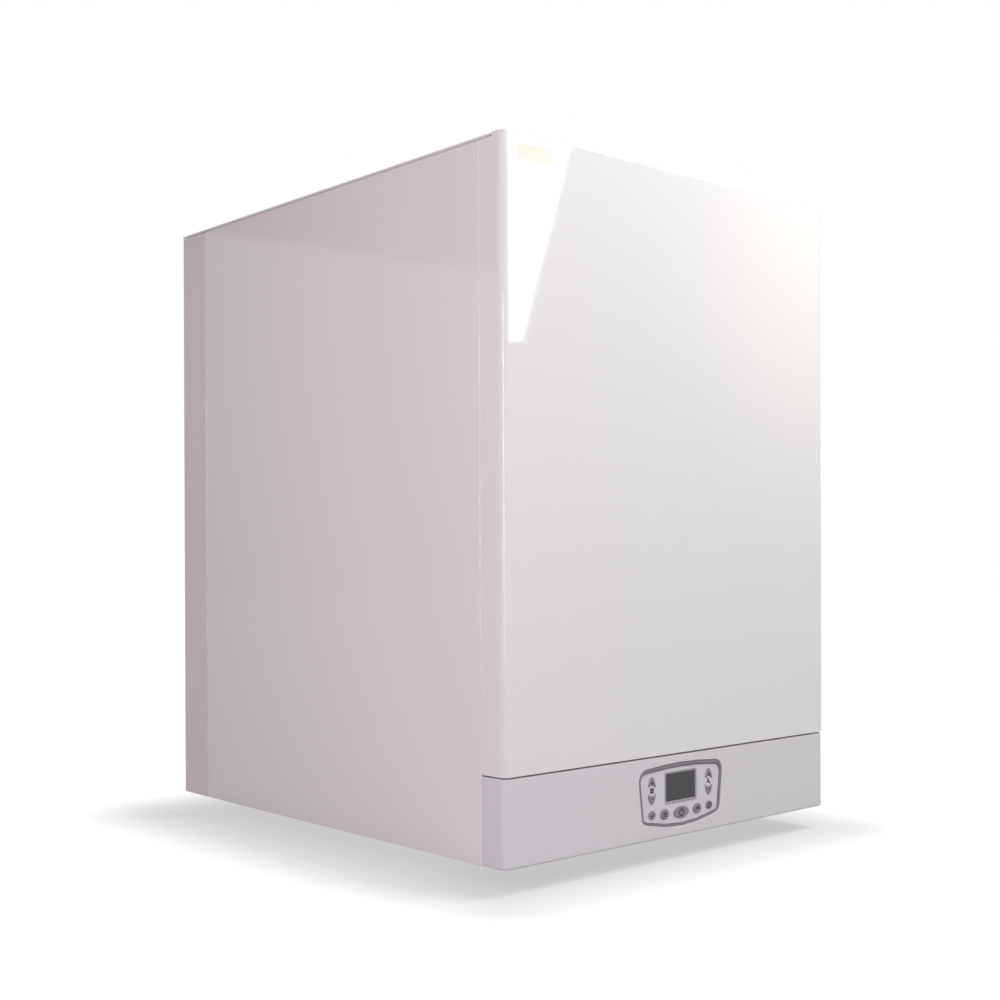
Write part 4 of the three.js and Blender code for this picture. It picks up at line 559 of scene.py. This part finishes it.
class BoilerWorksSettings(bpy.types.PropertyGroup):
    """Finishes and counts of the works"""

    copper: tone("Copper", "Drawn copper tube", "D08A68")
    brass: tone("Brass", "Machined brass", "D9BB78")
    rib_pitch: number("Hose ribs", "Spacing of the hose's ribs", 0.0035, unit="LENGTH", precision=5)
    door_nuts: IntProperty(name="Door nuts", description="Nuts round the burner door", default=6, min=3)


# Operators

# The eye's place is in metres from the casing's lower edge, and its turns are in degrees.
CAMERA = SimpleNamespace(place=(-1.3409, -1.8873, 0.3604), yaw=-41.756, roll=-0.218,
                         shift=(-0.00492, 0.04904), sensor=36.0)


class BOILER_OT_stage(bpy.types.Operator):
    """Lay the floor, hang the lamps and aim the camera"""

    bl_idname = "boiler.stage"
    bl_label = "Stage"

    def execute(self, context):
        scene = context.scene
        settings = scene.boiler_stage
        scene.view_settings.view_transform = "Standard"
        self.room(scene, settings)
        self.floor(settings)
        self.lamps(settings)
        self.cards(settings)
        self.camera(scene, settings)
        return {"FINISHED"}

    def room(self, scene, settings):
        """Light from all round, cooler from below, behind a plain white backdrop."""
        world = bpy.data.worlds.new("plain room")
        scene.world = world
        tree = empty_tree(world)
        where = add_node(tree, "TexCoord").outputs["Generated"]
        height = add_node(tree, "SeparateXYZ", {"Vector": where}).outputs["Z"]
        share = add_node(tree, "MapRange", {"Value": height, "From Min": -0.35, "From Max": 0.5})
        walls = add_node(tree, "Mix", {
            "Factor": share.outputs["Result"], "A": (*linear("F4F2F6"), 1.0), "B": (*linear("FFFEFC"), 1.0),
        }, data_type="RGBA")
        room = add_node(tree, "Background", {
            "Color": walls.outputs["Result"], "Strength": settings.sky,
        })
        plain = add_node(tree, "Background", {"Color": (1.0, 1.0, 1.0, 1.0), "Strength": 1.0})
        chosen = add_node(tree, "MixShader", {
            "Fac": self.seen(tree), 1: room.outputs["Background"], 2: plain.outputs["Background"],
        })
        add_node(tree, "OutputWorld", {"Surface": chosen.outputs["Shader"]})

    def seen(self, tree):
        """One for rays from the eye, straight, mirrored or through glass, and zero for the rest."""
        path = add_node(tree, "LightPath").outputs
        mirrored = add_node(tree, "Math", {
            0: path["Is Camera Ray"], 1: path["Is Glossy Ray"]}, operation="MAXIMUM")
        through = add_node(tree, "Math", {
            0: mirrored.outputs["Value"], 1: path["Is Transmission Ray"]}, operation="MAXIMUM")
        return through.outputs["Value"]

    def floor(self, settings):
        """A matt floor that turns to plain white away from the boiler's footprint, so it has no far edge, and
        is darker round the footprint as a painted shadow.
        """
        reach, fade = 9.0, 0.22
        low = min(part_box(node)[0].z for node in frame["nodes"]) - settings.drop
        left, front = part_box("left_side_panel")[0].x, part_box("front_cover")[0].y
        material = bpy.data.materials.new("pale floor")
        tree = empty_tree(material)

        def vector_math(operation, first, second=None):
            sockets = {0: first} if second is None else {0: first, 1: second}
            return add_node(tree, "VectorMath", sockets, operation=operation).outputs

        where = add_node(tree, "TexCoord").outputs["Object"]
        centred = vector_math("SUBTRACT", where, (0.0, front / 2, low))["Vector"]
        mirrored = vector_math("ABSOLUTE", centred)["Vector"]
        past = vector_math("SUBTRACT", mirrored, (-left, -front / 2, 0.0))["Vector"]
        outside = vector_math("MAXIMUM", past, (0.0, 0.0, 0.0))["Vector"]
        # Painted shadow: the light added to the viewer's rays is least round the footprint and grows to white
        # past it.
        painted_shadow_fade = add_node(tree, "MapRange", {
            "Value": vector_math("LENGTH", outside)["Value"],
            "From Max": fade, "To Min": settings.glow, "To Max": 1.0,
        }, interpolation_type="SMOOTHSTEP")
        share = add_node(tree, "Math", {
            0: self.seen(tree), 1: painted_shadow_fade.outputs["Result"]}, operation="MULTIPLY")
        glow = add_node(tree, "Emission", {"Strength": share.outputs["Value"]})
        paint = add_node(tree, "BsdfDiffuse", {"Color": (*settings.backdrop, 1.0)})
        both = add_node(tree, "AddShader", {
            0: paint.outputs["BSDF"], 1: glow.outputs["Emission"],
        })
        add_node(tree, "OutputMaterial", {"Surface": both.outputs["Shader"]})
        made = self.flat_mesh("floor", [
            (-reach, -reach, low), (reach, -reach, low), (reach, reach, low), (-reach, reach, low),
        ], material)

    def flat_mesh(self, name, corners, material):
        """One face of the stage."""
        mesh = bpy.data.meshes.new(name)
        mesh.from_pydata(corners, [], [tuple(range(len(corners)))])
        mesh.materials.append(material)
        return new_object(name, mesh)

    def lamps(self, settings):
        """A greenish lamp above at the right for the front, and a pink one at the left for the side."""
        self.lamp("key lamp", settings.key_power, colour=(0.97, 1.0, 0.985), size=1.0,
                  where=(0.6, -1.58, 1.15), aim=(0.0, -0.7, -0.2))
        self.lamp("fill lamp", settings.fill_power, colour=(1.0, 0.87, 0.96), size=1.1,
                  where=(-1.6, -1.35, 0.05), aim=(-0.3, -0.55, -0.35))

    def lamp(self, name, power, colour, size, where, aim):
        """A square lamp that lights the boiler but isn't seen in its gloss."""
        light = bpy.data.lights.new(name, "AREA")
        light.energy = power
        light.size = size
        light.color = colour
        made = new_object(name, light)
        made.location = where
        made.rotation_euler = (Vector(where) - Vector(aim)).to_track_quat("Z", "Y").to_euler()
        made.visible_glossy = False

    def cards(self, settings):
        """What the gloss shows of the room: a window, a warm lamp's glow and a tall strip of light behind the
        viewer, and a dark red pelmet at the left. Nothing else sees them."""
        white = (1.0, 1.0, 1.0)
        wall = -2.5
        self.card("window", white, settings.window, [
            (1.30, wall, 0.946), (1.366, wall, 0.956), (1.593, wall, 1.66), (1.30, wall, 1.66)])
        behind = -2.52
        self.card("warm_glow", linear("FFF2E2"), 2.4, [
            (1.7, behind, 0.3), (3.8, behind, 0.3), (3.8, behind, 2.3), (1.7, behind, 2.3)],
            middle=(2.75, behind, 1.30), fade=0.95)
        self.card("tall_strip", white, 14.0, [
            (-2.62, -2.7, -0.8), (-2.32, -3.0, -0.8), (-2.32, -3.0, 1.2), (-2.62, -2.7, 1.2)])
        left = -2.5
        self.card("pelmet", linear("D8A8AE"), 0.8, [
            (left, 5.0, 2.104), (left, 1.2, 1.186), (left, 1.2, 3.2), (left, 5.0, 3.2)])

    def card(self, name, colour, strength, corners, middle=None, fade=0.0):
        """A glowing shape with its heights from the casing's lower edge, which fades to white round a middle
        when one is given."""
        material = bpy.data.materials.new(name + " light")
        tree = empty_tree(material)
        glow = add_node(tree, "Emission", {"Color": (*colour, 1.0), "Strength": strength})
        if middle:
            where = add_node(tree, "TexCoord").outputs["Object"]
            x, y, z = middle
            away = add_node(tree, "VectorMath", {0: where, 1: (x, y, CASING_LOW + z)},
                            operation="DISTANCE")
            share = add_node(tree, "MapRange", {"Value": away.outputs["Value"], "From Max": fade},
                             interpolation_type="SMOOTHSTEP")
            mix = add_node(tree, "Mix", {
                "Factor": share.outputs["Result"], "A": (*shade(colour, strength, math.inf), 1.0),
                "B": (1.0, 1.0, 1.0, 1.0),
            }, data_type="RGBA")
            tree.links.new(mix.outputs["Result"], glow.inputs["Color"])
            glow.inputs["Strength"].default_value = 1.0
        add_node(tree, "OutputMaterial", {"Surface": glow.outputs["Emission"]})
        made = self.flat_mesh(name, [(x, y, CASING_LOW + z) for x, y, z in corners], material)
        made.visible_camera = False
        made.visible_diffuse = False
        made.visible_shadow = False

    def camera(self, scene, settings):
        """The reference view: level, turned to the left corner, with a shifted lens."""
        yaw, roll = math.radians(CAMERA.yaw), math.radians(CAMERA.roll)
        right = Vector((math.cos(yaw), math.sin(yaw), 0))
        ahead = Vector((-math.sin(yaw), math.cos(yaw), 0))
        up = right.cross(ahead)
        across = right * math.cos(roll) + up * math.sin(roll)
        rise = -right * math.sin(roll) + up * math.cos(roll)
        lens = bpy.data.cameras.new("camera")
        lens.sensor_width = CAMERA.sensor
        lens.lens = settings.lens
        lens.shift_x, lens.shift_y = CAMERA.shift
        lens.clip_start = 0.01
        made = new_object("camera", lens)
        turn = Matrix((across, rise, -ahead)).transposed().to_4x4()
        x, y, z = CAMERA.place
        made.matrix_world = Matrix.Translation((x, y, CASING_LOW + z)) @ turn
        scene.camera = made


class BOILER_OT_casing(bpy.types.Operator):
    """Enamel the casing and lay its bare label and clear film"""

    bl_idname = "boiler.casing"
    bl_label = "Casing"

    def execute(self, context):
        settings = context.scene.boiler_casing
        white = enamelled_steel("white stoved enamel", settings.cover, 0.03)
        grey = enamelled_steel("off-white stoved enamel", settings.side, 0.06)
        # Painted shade: the sides' enamel made darker and warmer for the rear uprights and the lid.
        strip = enamelled_steel("side enamel darkened as painted shade", settings.strip, 0.22)
        zinc = galvanised_sheet("hot-dip galvanised steel", settings.zinc)
        refined("front_cover", white, 0.25)
        for node in ("left_side_panel", "right_side_panel"):
            refined(node, grey, 0.3, SHARP_DEG)
        for node in ("left_upright", "right_upright", "top_panel"):
            refined(node, strip, 0.6, SHARP_DEG)
        for node in ("wall_bracket", "back_panel", "base_panel", "lower_rail"):
            refined(node, zinc, 0.2)
        paper = blank_label("pale paper label", settings.label)
        film = clear_film("clear polyester film", linear("FFFFFF"))
        self.lay("paper_label", rounded_box(-276, -222, 802, 819, 1.5), 0.1, paper)
        self.lay("clear_film", rounded_box(-47.5, 70, 373.5, 499, 2.5), 0.06, film)
        return {"FINISHED"}

    def lay(self, name, outline, thickness, material):
        """Lays a sheet on the cover, sunk a hair into its enamel."""
        sunk = 0.02
        front = extent("front_cover")[0].y
        made = loft(name, [at_depth(outline, front - thickness), at_depth(outline, front + sunk)], material,
                    "front_cover")


class BOILER_OT_seal(bpy.types.Operator):
    """Fit the foam seal behind the front cover"""

    bl_idname = "boiler.seal"
    bl_label = "Cover seal"

    def execute(self, context):
        foam = foam_rubber("closed-cell foam rubber", linear("2A2B2D"))
        self.cover_seal(foam)
        self.rear_strip(foam)
        return {"FINISHED"}

    def cover_seal(self, foam):
        """A ring of soft square section, fuller than an ellipse."""
        width, squareness, sides = 10.0, 0.72, 20
        low, high = extent("cover_seal")
        inset = width / 2
        middle = rounded_box(-high.x + inset, high.x - inset, low.z + inset, high.z - inset, width, 6)
        centre, half = (low.y + high.y) / 2, (high.y - low.y) / 2
        rings = []
        for i in range(sides):
            angle = 2 * math.pi * i / sides
            out, deep = (math.copysign(abs(part) ** squareness, part) for part in (
                math.cos(angle), math.sin(angle)))
            rings.append(at_depth(offset(middle, out * width / 2), centre + deep * half))
        loft("foam_seal", rings, foam, "front_cover", "cover_seal", endless=True)

    def rear_strip(self, foam):
        """A flat foam strip that closes the slot between the back panel's upper edge and the lid."""
        rear, front, overlap, lid_sheet = -11.0, -17.5, 0.1, 1.3
        panel, lid = extent("back_panel")[1], extent("top_panel")[1]
        section = rounded_box(front, rear, panel.z - overlap, lid.z - lid_sheet, 1.0, 3)
        rings = [[place(x, p.x, p.y) for p in section] for x in (-panel.x, panel.x)]
        loft("rear_foam_strip", rings, foam, "casing")


# The controls' sizes in millimetres, with heights from the casing's lower edge, follow the CAD's own.
WINDOW = SimpleNamespace(half=79.0, top=77.0, low_half=73.5, low=27.0, crown=91.5, shoulder=88.5,
                         shoulder_x=62.0, keel=12.2, chine=19.4, chine_x=60.0, slope=1.6, top_corner=14.0,
                         low_corner=9.0, ring=3.9, drop=1.0)
CRESCENT = SimpleNamespace(x=53.8, z=61.2, half=7.0, tall=16.8, near=4.3, hollow=9.0, sign=9.6)

# Centre, width and height of each oval button
OVALS = {
    "info_button": (-53.7, 31.0, 13.0, 10.0),
    "menu_button": (-30.6, 29.4, 16.5, 12.5),
    "power_button": (0.5, 28.5, 28.5, 14.4),
    "confirm_button": (31.1, 29.4, 16.5, 12.5),
    "clock_button": (54.4, 31.0, 13.0, 10.0),
}

# The side and the direction of each crescent button
CRESCENTS = {
    "hot_water_up_button": (-1, 1), "hot_water_down_button": (-1, -1),
    "heating_up_button": (1, 1), "heating_down_button": (1, -1),
}

# Marks: each stroke is its points and half width, and each arc its radius, half width, start and end. Ink
# stands a little off its face.
INK_STEP = 0.03
MINUS = [([(-2.1, 0), (2.1, 0)], 0.75)]
PLUS = [*MINUS, ([(0, -2.1), (0, 2.1)], 0.75)]
STROKES = {
    "info_button": [([(-2.8, -0.2), (-0.8, -2.0), (2.8, 2.0)], 0.9)],
    "menu_button": [([(-3.4, level), (3.4, level)], 0.75) for level in (-2.2, 0, 2.2)],
    "power_button": [([(0, 0.4), (0, 5.8)], 0.9)],
    "confirm_button": [([(-3.6, -2.2), (-1.6, 1.9), (0.4, -0.9), (2.0, 2.2), (3.8, -1.6)], 0.8)],
    "clock_button": [([(0, 1.9), (0, 0), (1.5, -0.6)], 0.5)],
}
ARCS = {"power_button": (4.2, 0.95, 118, 422), "clock_button": (3.1, 0.8)}


def shield(grow, steps=12):
    """The outline of the control window, arched above and below and narrower at the foot."""
    w = WINDOW

    def side_at(z):
        return w.low_half + (w.half - w.low_half) * (z - w.low) / (w.top - w.low)

    shares = [1 - 2 * i / steps for i in range(steps + 1)]
    roof = [Vector((w.shoulder_x * s, w.crown + (w.shoulder - w.crown) * s ** 2)) for s in shares]
    keel = [Vector((-w.chine_x * s, w.keel + (w.chine - w.keel) * s ** 2)) for s in shares]
    high, low = w.shoulder - w.slope, w.chine + w.slope
    top, foot = Vector((side_at(high), high)), Vector((side_at(low), low + w.slope))
    corners = [*roof, Vector((-top.x, top.y)), Vector((-foot.x, foot.y)), *keel, foot, top]
    plain = [0.0] * len(shares)
    radii = [*plain, w.top_corner, w.low_corner, *plain, w.low_corner, w.top_corner]
    return offset(rounded_outline(corners, radii), grow)


def crescent(side, turn, grow, steps=28, hollow_steps=12):
    """A half ellipse with a round hollow across its foot."""
    c = CRESCENT
    tilt = math.asin(c.near / c.tall)
    points = []
    for i in range(steps + 1):
        angle = tilt + i / steps * (math.pi - 2 * tilt)
        points.append(Vector((c.half * math.cos(angle), c.tall * math.sin(angle))))
    centre = c.near - math.sqrt(c.hollow ** 2 - points[0].x ** 2)
    start = math.atan2(c.near - centre, -points[0].x)
    for i in range(1, hollow_steps):
        angle = start + i / hollow_steps * (math.pi - 2 * start)
        points.append(Vector((c.hollow * math.cos(angle), centre + c.hollow * math.sin(angle))))
    return [Vector((side * c.x + turn * p.x, c.z + turn * p.y)) for p in offset(points, grow)]


def button_outline(node, grow=0.0):
    """The outline of a push button, an oval or a crescent."""
    return offset(ellipse(*OVALS[node]), grow) if node in OVALS else crescent(*CRESCENTS[node], grow)


class BOILER_OT_controls(bpy.types.Operator):
    """Finish the control strip, its buttons, marks and display"""

    bl_idname = "boiler.controls"
    bl_label = "Controls"

    def execute(self, context):
        settings = context.scene.boiler_controls
        ink = printed_ink("dark screen-printed ink", settings.ink)
        white = moulded_plastic("white ABS moulding", settings.fascia, 0.3)
        refined("control_fascia", white, 1.1, front_only=True)
        refined("keypad_plate", moulded_plastic("pale grey ABS plate", settings.plate, 0.4, 0.5), 0.1)
        self.bezel(settings)
        self.display(settings)
        rubber = moulded_plastic("grey satin push button", settings.key, 0.42, 0.5)
        for node in (*OVALS, *CRESCENTS):
            self.button(node, rubber)
            self.button_mark(node, ink)
        self.plate_marks(ink)
        self.box()
        return {"FINISHED"}

    def bezel(self, settings):
        """A ring whose crown is rounded and whose inner side slopes to the plate. Its dark grey is partly its
        own colour and partly painted shade of the recess round the plate.
        """
        grey = moulded_plastic("dark grey ABS with painted recess shade", settings.bezel, 0.3, 0.6)
        front, back = (corner.y for corner in extent("bezel_ring"))
        outside = ((0.0, back), (0.0, front + 0.5), (-0.15, front + 0.15), (-0.5, front))
        inside = ((-2.9, front), (-3.2, front + 0.1), (-3.75, front + 1.1), (-WINDOW.ring, front + 1.4),
                  (-WINDOW.ring, back))
        rings = [at_depth(shield(grow), y) for grow, y in outside]
        for grow, y in inside:
            rings.append(at_depth([Vector((p.x, p.y - WINDOW.drop)) for p in shield(grow)], y))
        loft("bezel", rings, grey, "control_panel", "bezel_ring", endless=True)

    def display(self, settings):
        """A frame with a sloped inner side, and the window in it."""
        low, high = extent("display_frame")
        front, back = low.y, high.y
        grey = moulded_plastic("grey satin display frame", linear("A29DA3"), 0.35, 0.5)
        outline = rounded_box(low.x, high.x, low.z, high.z, 2.0, 6)
        profile = ((0.0, back), (0.0, front + 0.4), (-0.3, front), (-0.8, front), (-1.9, front + 0.7),
                   (-2.3, front + 0.9), (-2.3, back))
        rings = [at_depth(offset(outline, grow), y) for grow, y in profile]
        loft("display_rim", rings, grey, "control_panel", "display_frame", endless=True)
        dressed("display_glass",
                display_glass("liquid crystal display, off", settings.screen, settings.dot_pitch / MM))

    def button(self, node, rubber):
        """A cap with a soft crown, and the flange that keeps it behind the plate."""
        tip, back = (corner.y for corner in extent(node))
        crown = ((1.6, 0.0), (0.9, 0.08), (0.4, 0.3), (0.1, 0.62))
        stem = ((0.0, 1.0), (0.0, 3.6), (1.0, 3.6), (1.0, 4.3), (0.0, 4.3))
        rings = [at_depth(drawn_in(button_outline(node), inwards), tip + down) for inwards, down in crown]
        rings += [at_depth(button_outline(node, grow), tip + down) for grow, down in stem]
        rings.append(at_depth(button_outline(node), back))
        loft("cap_" + node, rings, rubber, node, node)

    def button_mark(self, node, ink):
        """The sign printed on a button."""
        if node in OVALS:
            x, z = OVALS[node][:2]
            strokes = STROKES[node]
        else:
            side, turn = CRESCENTS[node]
            x, z = side * CRESCENT.x, CRESCENT.z + turn * CRESCENT.sign
            strokes = PLUS if turn > 0 else MINUS
        mark = Mark(x, z, extent(node)[0].y - INK_STEP)
        if node in ARCS:
            mark.ring(*ARCS[node])
        for points, half in strokes:
            mark.line(points, half)
        mark.make("mark_" + node, ink, node)

    def plate_marks(self, ink):
        """Pale discs between the pairs of buttons, with a radiator on one and a tap on the other."""
        disc_wide = 9.8
        face = extent("keypad_plate")[0].y
        pale = printed_ink("pale screen-printed ink", linear("DAD7DC"))
        for name, side in (("radiator", -1), ("tap", 1)):
            disc = Mark(side * CRESCENT.x, CRESCENT.z, face - INK_STEP)
            disc.patch(ellipse(0.0, 0.0, disc_wide, disc_wide, 40))
            disc.make("disc_" + name, pale, "control_panel")
        radiator = Mark(-CRESCENT.x, CRESCENT.z, face - 2 * INK_STEP)
        for column in (-2.3, 0, 2.3):
            radiator.line([(column, -3.2), (column, 3.2)], 0.9)
        for level in (2.0, -2.0):
            radiator.line([(-3.0, level), (3.0, level)], 0.6)
        tap = Mark(CRESCENT.x, CRESCENT.z, face - 2 * INK_STEP)
        tap.patch([(-3.4, 0.7), (0.3, 0.7), (2.8, -0.4), (3.6, -3.1), (1.6, -3.1), (1.2, -1.6), (-3.4, -1.5)])
        tap.line([(-1.2, 0.6), (-1.2, 2.2)], 0.85)
        tap.line([(-3.0, 2.7), (0.8, 2.7)], 0.8)
        for name, mark in (("radiator", radiator), ("tap", tap)):
            mark.make("sign_" + name, ink, "control_panel")

    def box(self):
        """The black box behind the strip, and the boards."""
        black = moulded_plastic("black polypropylene", linear("2C2C2F"), 0.5, 1.0, 0.03)
        for node in ("control_box", "control_box_cover"):
            refined(node, black, 0.4)
        board = circuit_board("green circuit board", linear("1F5A38"), linear("3E7C54"))
        for node in ("main_board", "display_board"):
            dressed(node, board)


class BOILER_OT_burner(bpy.types.Operator):
    """Finish the heat exchanger, burner and condensate sump"""

    bl_idname = "boiler.burner"
    bl_label = "Heat exchanger"

    def execute(self, context):
        steel = drawn_metal("brushed stainless steel", linear("C9CACB"), 0.3, "y")
        cast = cast_metal("cast aluminium", linear("C4C6C8"), 0.9, 0.5)
        refined("exchanger_shell", cast, 0.8)
        refined("burner_tube", steel)
        refined("burner_door", cast, 0.8)
        dressed("door_insulation", pressed_fibre("ceramic fibre board", linear("E6E1D5")))
        refined("ignition_electrode", glazed_ceramic("glazed alumina", linear("F0EDE3")), 0.2)
        refined("condensate_sump", moulded_plastic("grey polypropylene", linear("8E9194"), 0.5), 0.8)
        self.coil(steel)
        self.nuts(context.scene.boiler_works.door_nuts, steel)
        return {"FINISHED"}

    def coil(self, steel):
        """One flattened tube wound round the burner. The CAD's tube has six sides, and this one is round, so
        its ends start where theirs do."""
        inner, turns, half, fullness = 78.0, 10, 13.0, 0.98
        steps, sides = turns * 40, 16
        low, high = extent("exchanger_coil")
        x, z = (low.x + high.x) / 2, (low.z + high.z) / 2
        width = ((high.z - low.z) / 2 - inner) / 2
        six_sided = half * math.sin(math.pi / 3)
        start, end = high.y - six_sided, low.y + six_sided
        rings = []
        for i in range(steps + 1):
            angle = 2 * math.pi * turns * i / steps
            along = start + (end - start) * i / steps
            ring = []
            for j in range(sides):
                a = 2 * math.pi * j / sides
                reach = inner + width + width * fullness * math.cos(a)
                ring.append(place(x + reach * math.cos(angle), along + half * fullness * math.sin(a),
                                  z + reach * math.sin(angle)))
            rings.append(ring)
        loft("steel_coil", rings, steel, "casing", "exchanger_coil", smooth_deg=50)

    def nuts(self, count, steel):
        """Hexagon nuts on studs round the burner door's rim."""
        circle, door_sheet = 153.0, 14.0
        profile = ((13.0, 3.0), (13.0, -3.0), (11.6, -4.0), (6.4, -4.0), (6.2, -8.5), (5.0, -9.0))
        tube_low, tube_high = extent("burner_tube")
        low, high = extent("burner_door")
        x, z = (tube_low.x + tube_high.x) / 2, (low.z + high.z) / 2
        face = extent("exchanger_shell")[0].y - door_sheet
        for i in range(count):
            angle = 2 * math.pi * (i + 0.5) / count
            centre = x + circle * math.cos(angle), z + circle * math.sin(angle)
            rings = [at_depth(ellipse(*centre, size, size, 6), face + along) for size, along in profile]
            loft(f"door_nut_{i + 1}", rings, steel, "casing")


class BOILER_OT_gas(bpy.types.Operator):
    """Finish the fan, mixer, gas valve, silencer and flue"""

    bl_idname = "boiler.gas"
    bl_label = "Fan, gas and flue"

    def execute(self, context):
        copper = context.scene.boiler_works.copper
        cast = cast_metal("die-cast aluminium", linear("BFC1C3"), 0.9, 0.45, 1.0)
        for node in ("fan_housing", "air_gas_mixer", "gas_valve"):
            refined(node, cast, 0.6)
        refined("fan_impeller", cast, 0.15)
        refined("fan_motor", cast_metal("dark painted die-casting", linear("4A4D51"), 0.1, 0.5), 0.5)
        blown = moulded_plastic("black blow-moulded polyethylene", linear("29292B"), 0.45, 1.5, 0.05)
        refined("air_silencer", blown, 1.2)
        flue = moulded_plastic("white flue-grade polypropylene", linear("EDEDEA"), 0.38)
        for node in ("air_collar", "flue_collar", "flue_duct"):
            refined(node, flue, 0.4)
        refined("gas_pipe", drawn_metal("drawn copper gas tube", copper, 0.28, "z"))
        return {"FINISHED"}


class BOILER_OT_water(bpy.types.Operator):
    """Finish the pump, water pipes, valves, trap and hose"""

    bl_idname = "boiler.water"
    bl_label = "Water side"

    def execute(self, context):
        works = context.scene.boiler_works
        copper = drawn_metal("drawn copper water tube", works.copper, 0.3, "z")
        brass = drawn_metal("machined brass", works.brass, 0.25, "y", 0.3)
        for node in ("flow_pipe", "return_pipe"):
            refined(node, copper)
        for node in ("flow_connector", "return_connector", "gas_connector", "air_vent", "safety_valve"):
            refined(node, brass, 0.4)
        refined("pump_body", cast_metal("painted grey iron", linear("50555B"), 0.2, 0.55), 1.0)
        nylon = moulded_plastic("black glass-filled nylon", linear("303134"), 0.45, 1.0, 0.03)
        refined("pump_motor", nylon, 1.0)
        refined("safety_knob", moulded_plastic("red nylon", linear("B8322A"), 0.4), 0.6)
        refined("drain_lever", enamelled_steel("red dipped steel", linear("B8322A"), 0.35), 0.4)
        grey = moulded_plastic("grey moulded polypropylene", linear("9A9C9E"), 0.5)
        for node in ("siphon_body", "siphon_cup"):
            refined(node, grey, 0.6)
        self.hose(works.rib_pitch / MM, grey)
        return {"FINISHED"}

    def hose(self, pitch, grey):
        """A corrugated hose along its route, with plain cuffs and its bore."""
        radius, rib, bore, bend, bend_steps = 11.0, 2.0, 8.0, 26.0, 14
        first, plain_end, bore_steps = radius * 2, 90.0, 24
        rib_profile = ((0.0, 0.0), (0.18, 0.63), (0.36, 0.9), (0.64, 0.9), (0.82, 0.63))
        low, high = extent("condensate_hose")
        level = high.z - radius
        line = [Vector((low.x, level))]
        for i in range(bend_steps + 1):
            angle = math.pi / 2 * (1 - i / bend_steps)
            line.append(Vector((bend * (math.cos(angle) - 1), level + bend * (math.sin(angle) - 1))))
        line.append(Vector((0, low.z)))
        route = Route(line, (low.y + high.y) / 2)
        count = int((route.length - plain_end - first) / pitch)
        rings = [route.ring(0, radius), route.ring(first - 1, radius)]
        for i in range(count):
            for share, out in rib_profile:
                rings.append(route.ring(first + (i + share) * pitch, radius + rib * out))
        rings += [route.ring(first + count * pitch, radius), route.ring(route.length, radius)]
        for i in range(bore_steps, -1, -1):
            rings.append(route.ring(route.length * i / bore_steps, bore))
        loft("corrugated_hose", rings, grey, "casing", "condensate_hose", endless=True, smooth_deg=60)


class BOILER_PT_panel(bpy.types.Panel):
    """Lists the boiler's settings and steps in the sidebar"""

    bl_idname = "BOILER_PT_panel"
    bl_label = "Gas boiler"
    bl_space_type = "VIEW_3D"
    bl_region_type = "UI"
    bl_category = "Boiler"

    def draw(self, context):
        for group in SETTINGS:
            settings = getattr(context.scene, group)
            for name in settings.__annotations__:
                self.layout.prop(settings, name)
        for operator in OPERATORS:
            self.layout.operator(operator.bl_idname)


SETTINGS = {
    "boiler_stage": BoilerStageSettings,
    "boiler_casing": BoilerCasingSettings,
    "boiler_controls": BoilerControlSettings,
    "boiler_works": BoilerWorksSettings,
}
OPERATORS = (BOILER_OT_stage, BOILER_OT_casing, BOILER_OT_seal, BOILER_OT_controls, BOILER_OT_burner,
             BOILER_OT_gas, BOILER_OT_water)


def register():
    for group in (*SETTINGS.values(), *OPERATORS, BOILER_PT_panel):
        bpy.utils.register_class(group)
    for name, group in SETTINGS.items():
        setattr(bpy.types.Scene, name, PointerProperty(type=group))


def unregister():
    for name in SETTINGS:
        delattr(bpy.types.Scene, name)
    for group in (BOILER_PT_panel, *reversed(OPERATORS), *reversed(list(SETTINGS.values()))):
        bpy.utils.unregister_class(group)


def main():
    register()
    for operator in OPERATORS:
        group, name = operator.bl_idname.split(".")
        getattr(getattr(bpy.ops, group), name)()


if __name__ == "__main__":
    main()
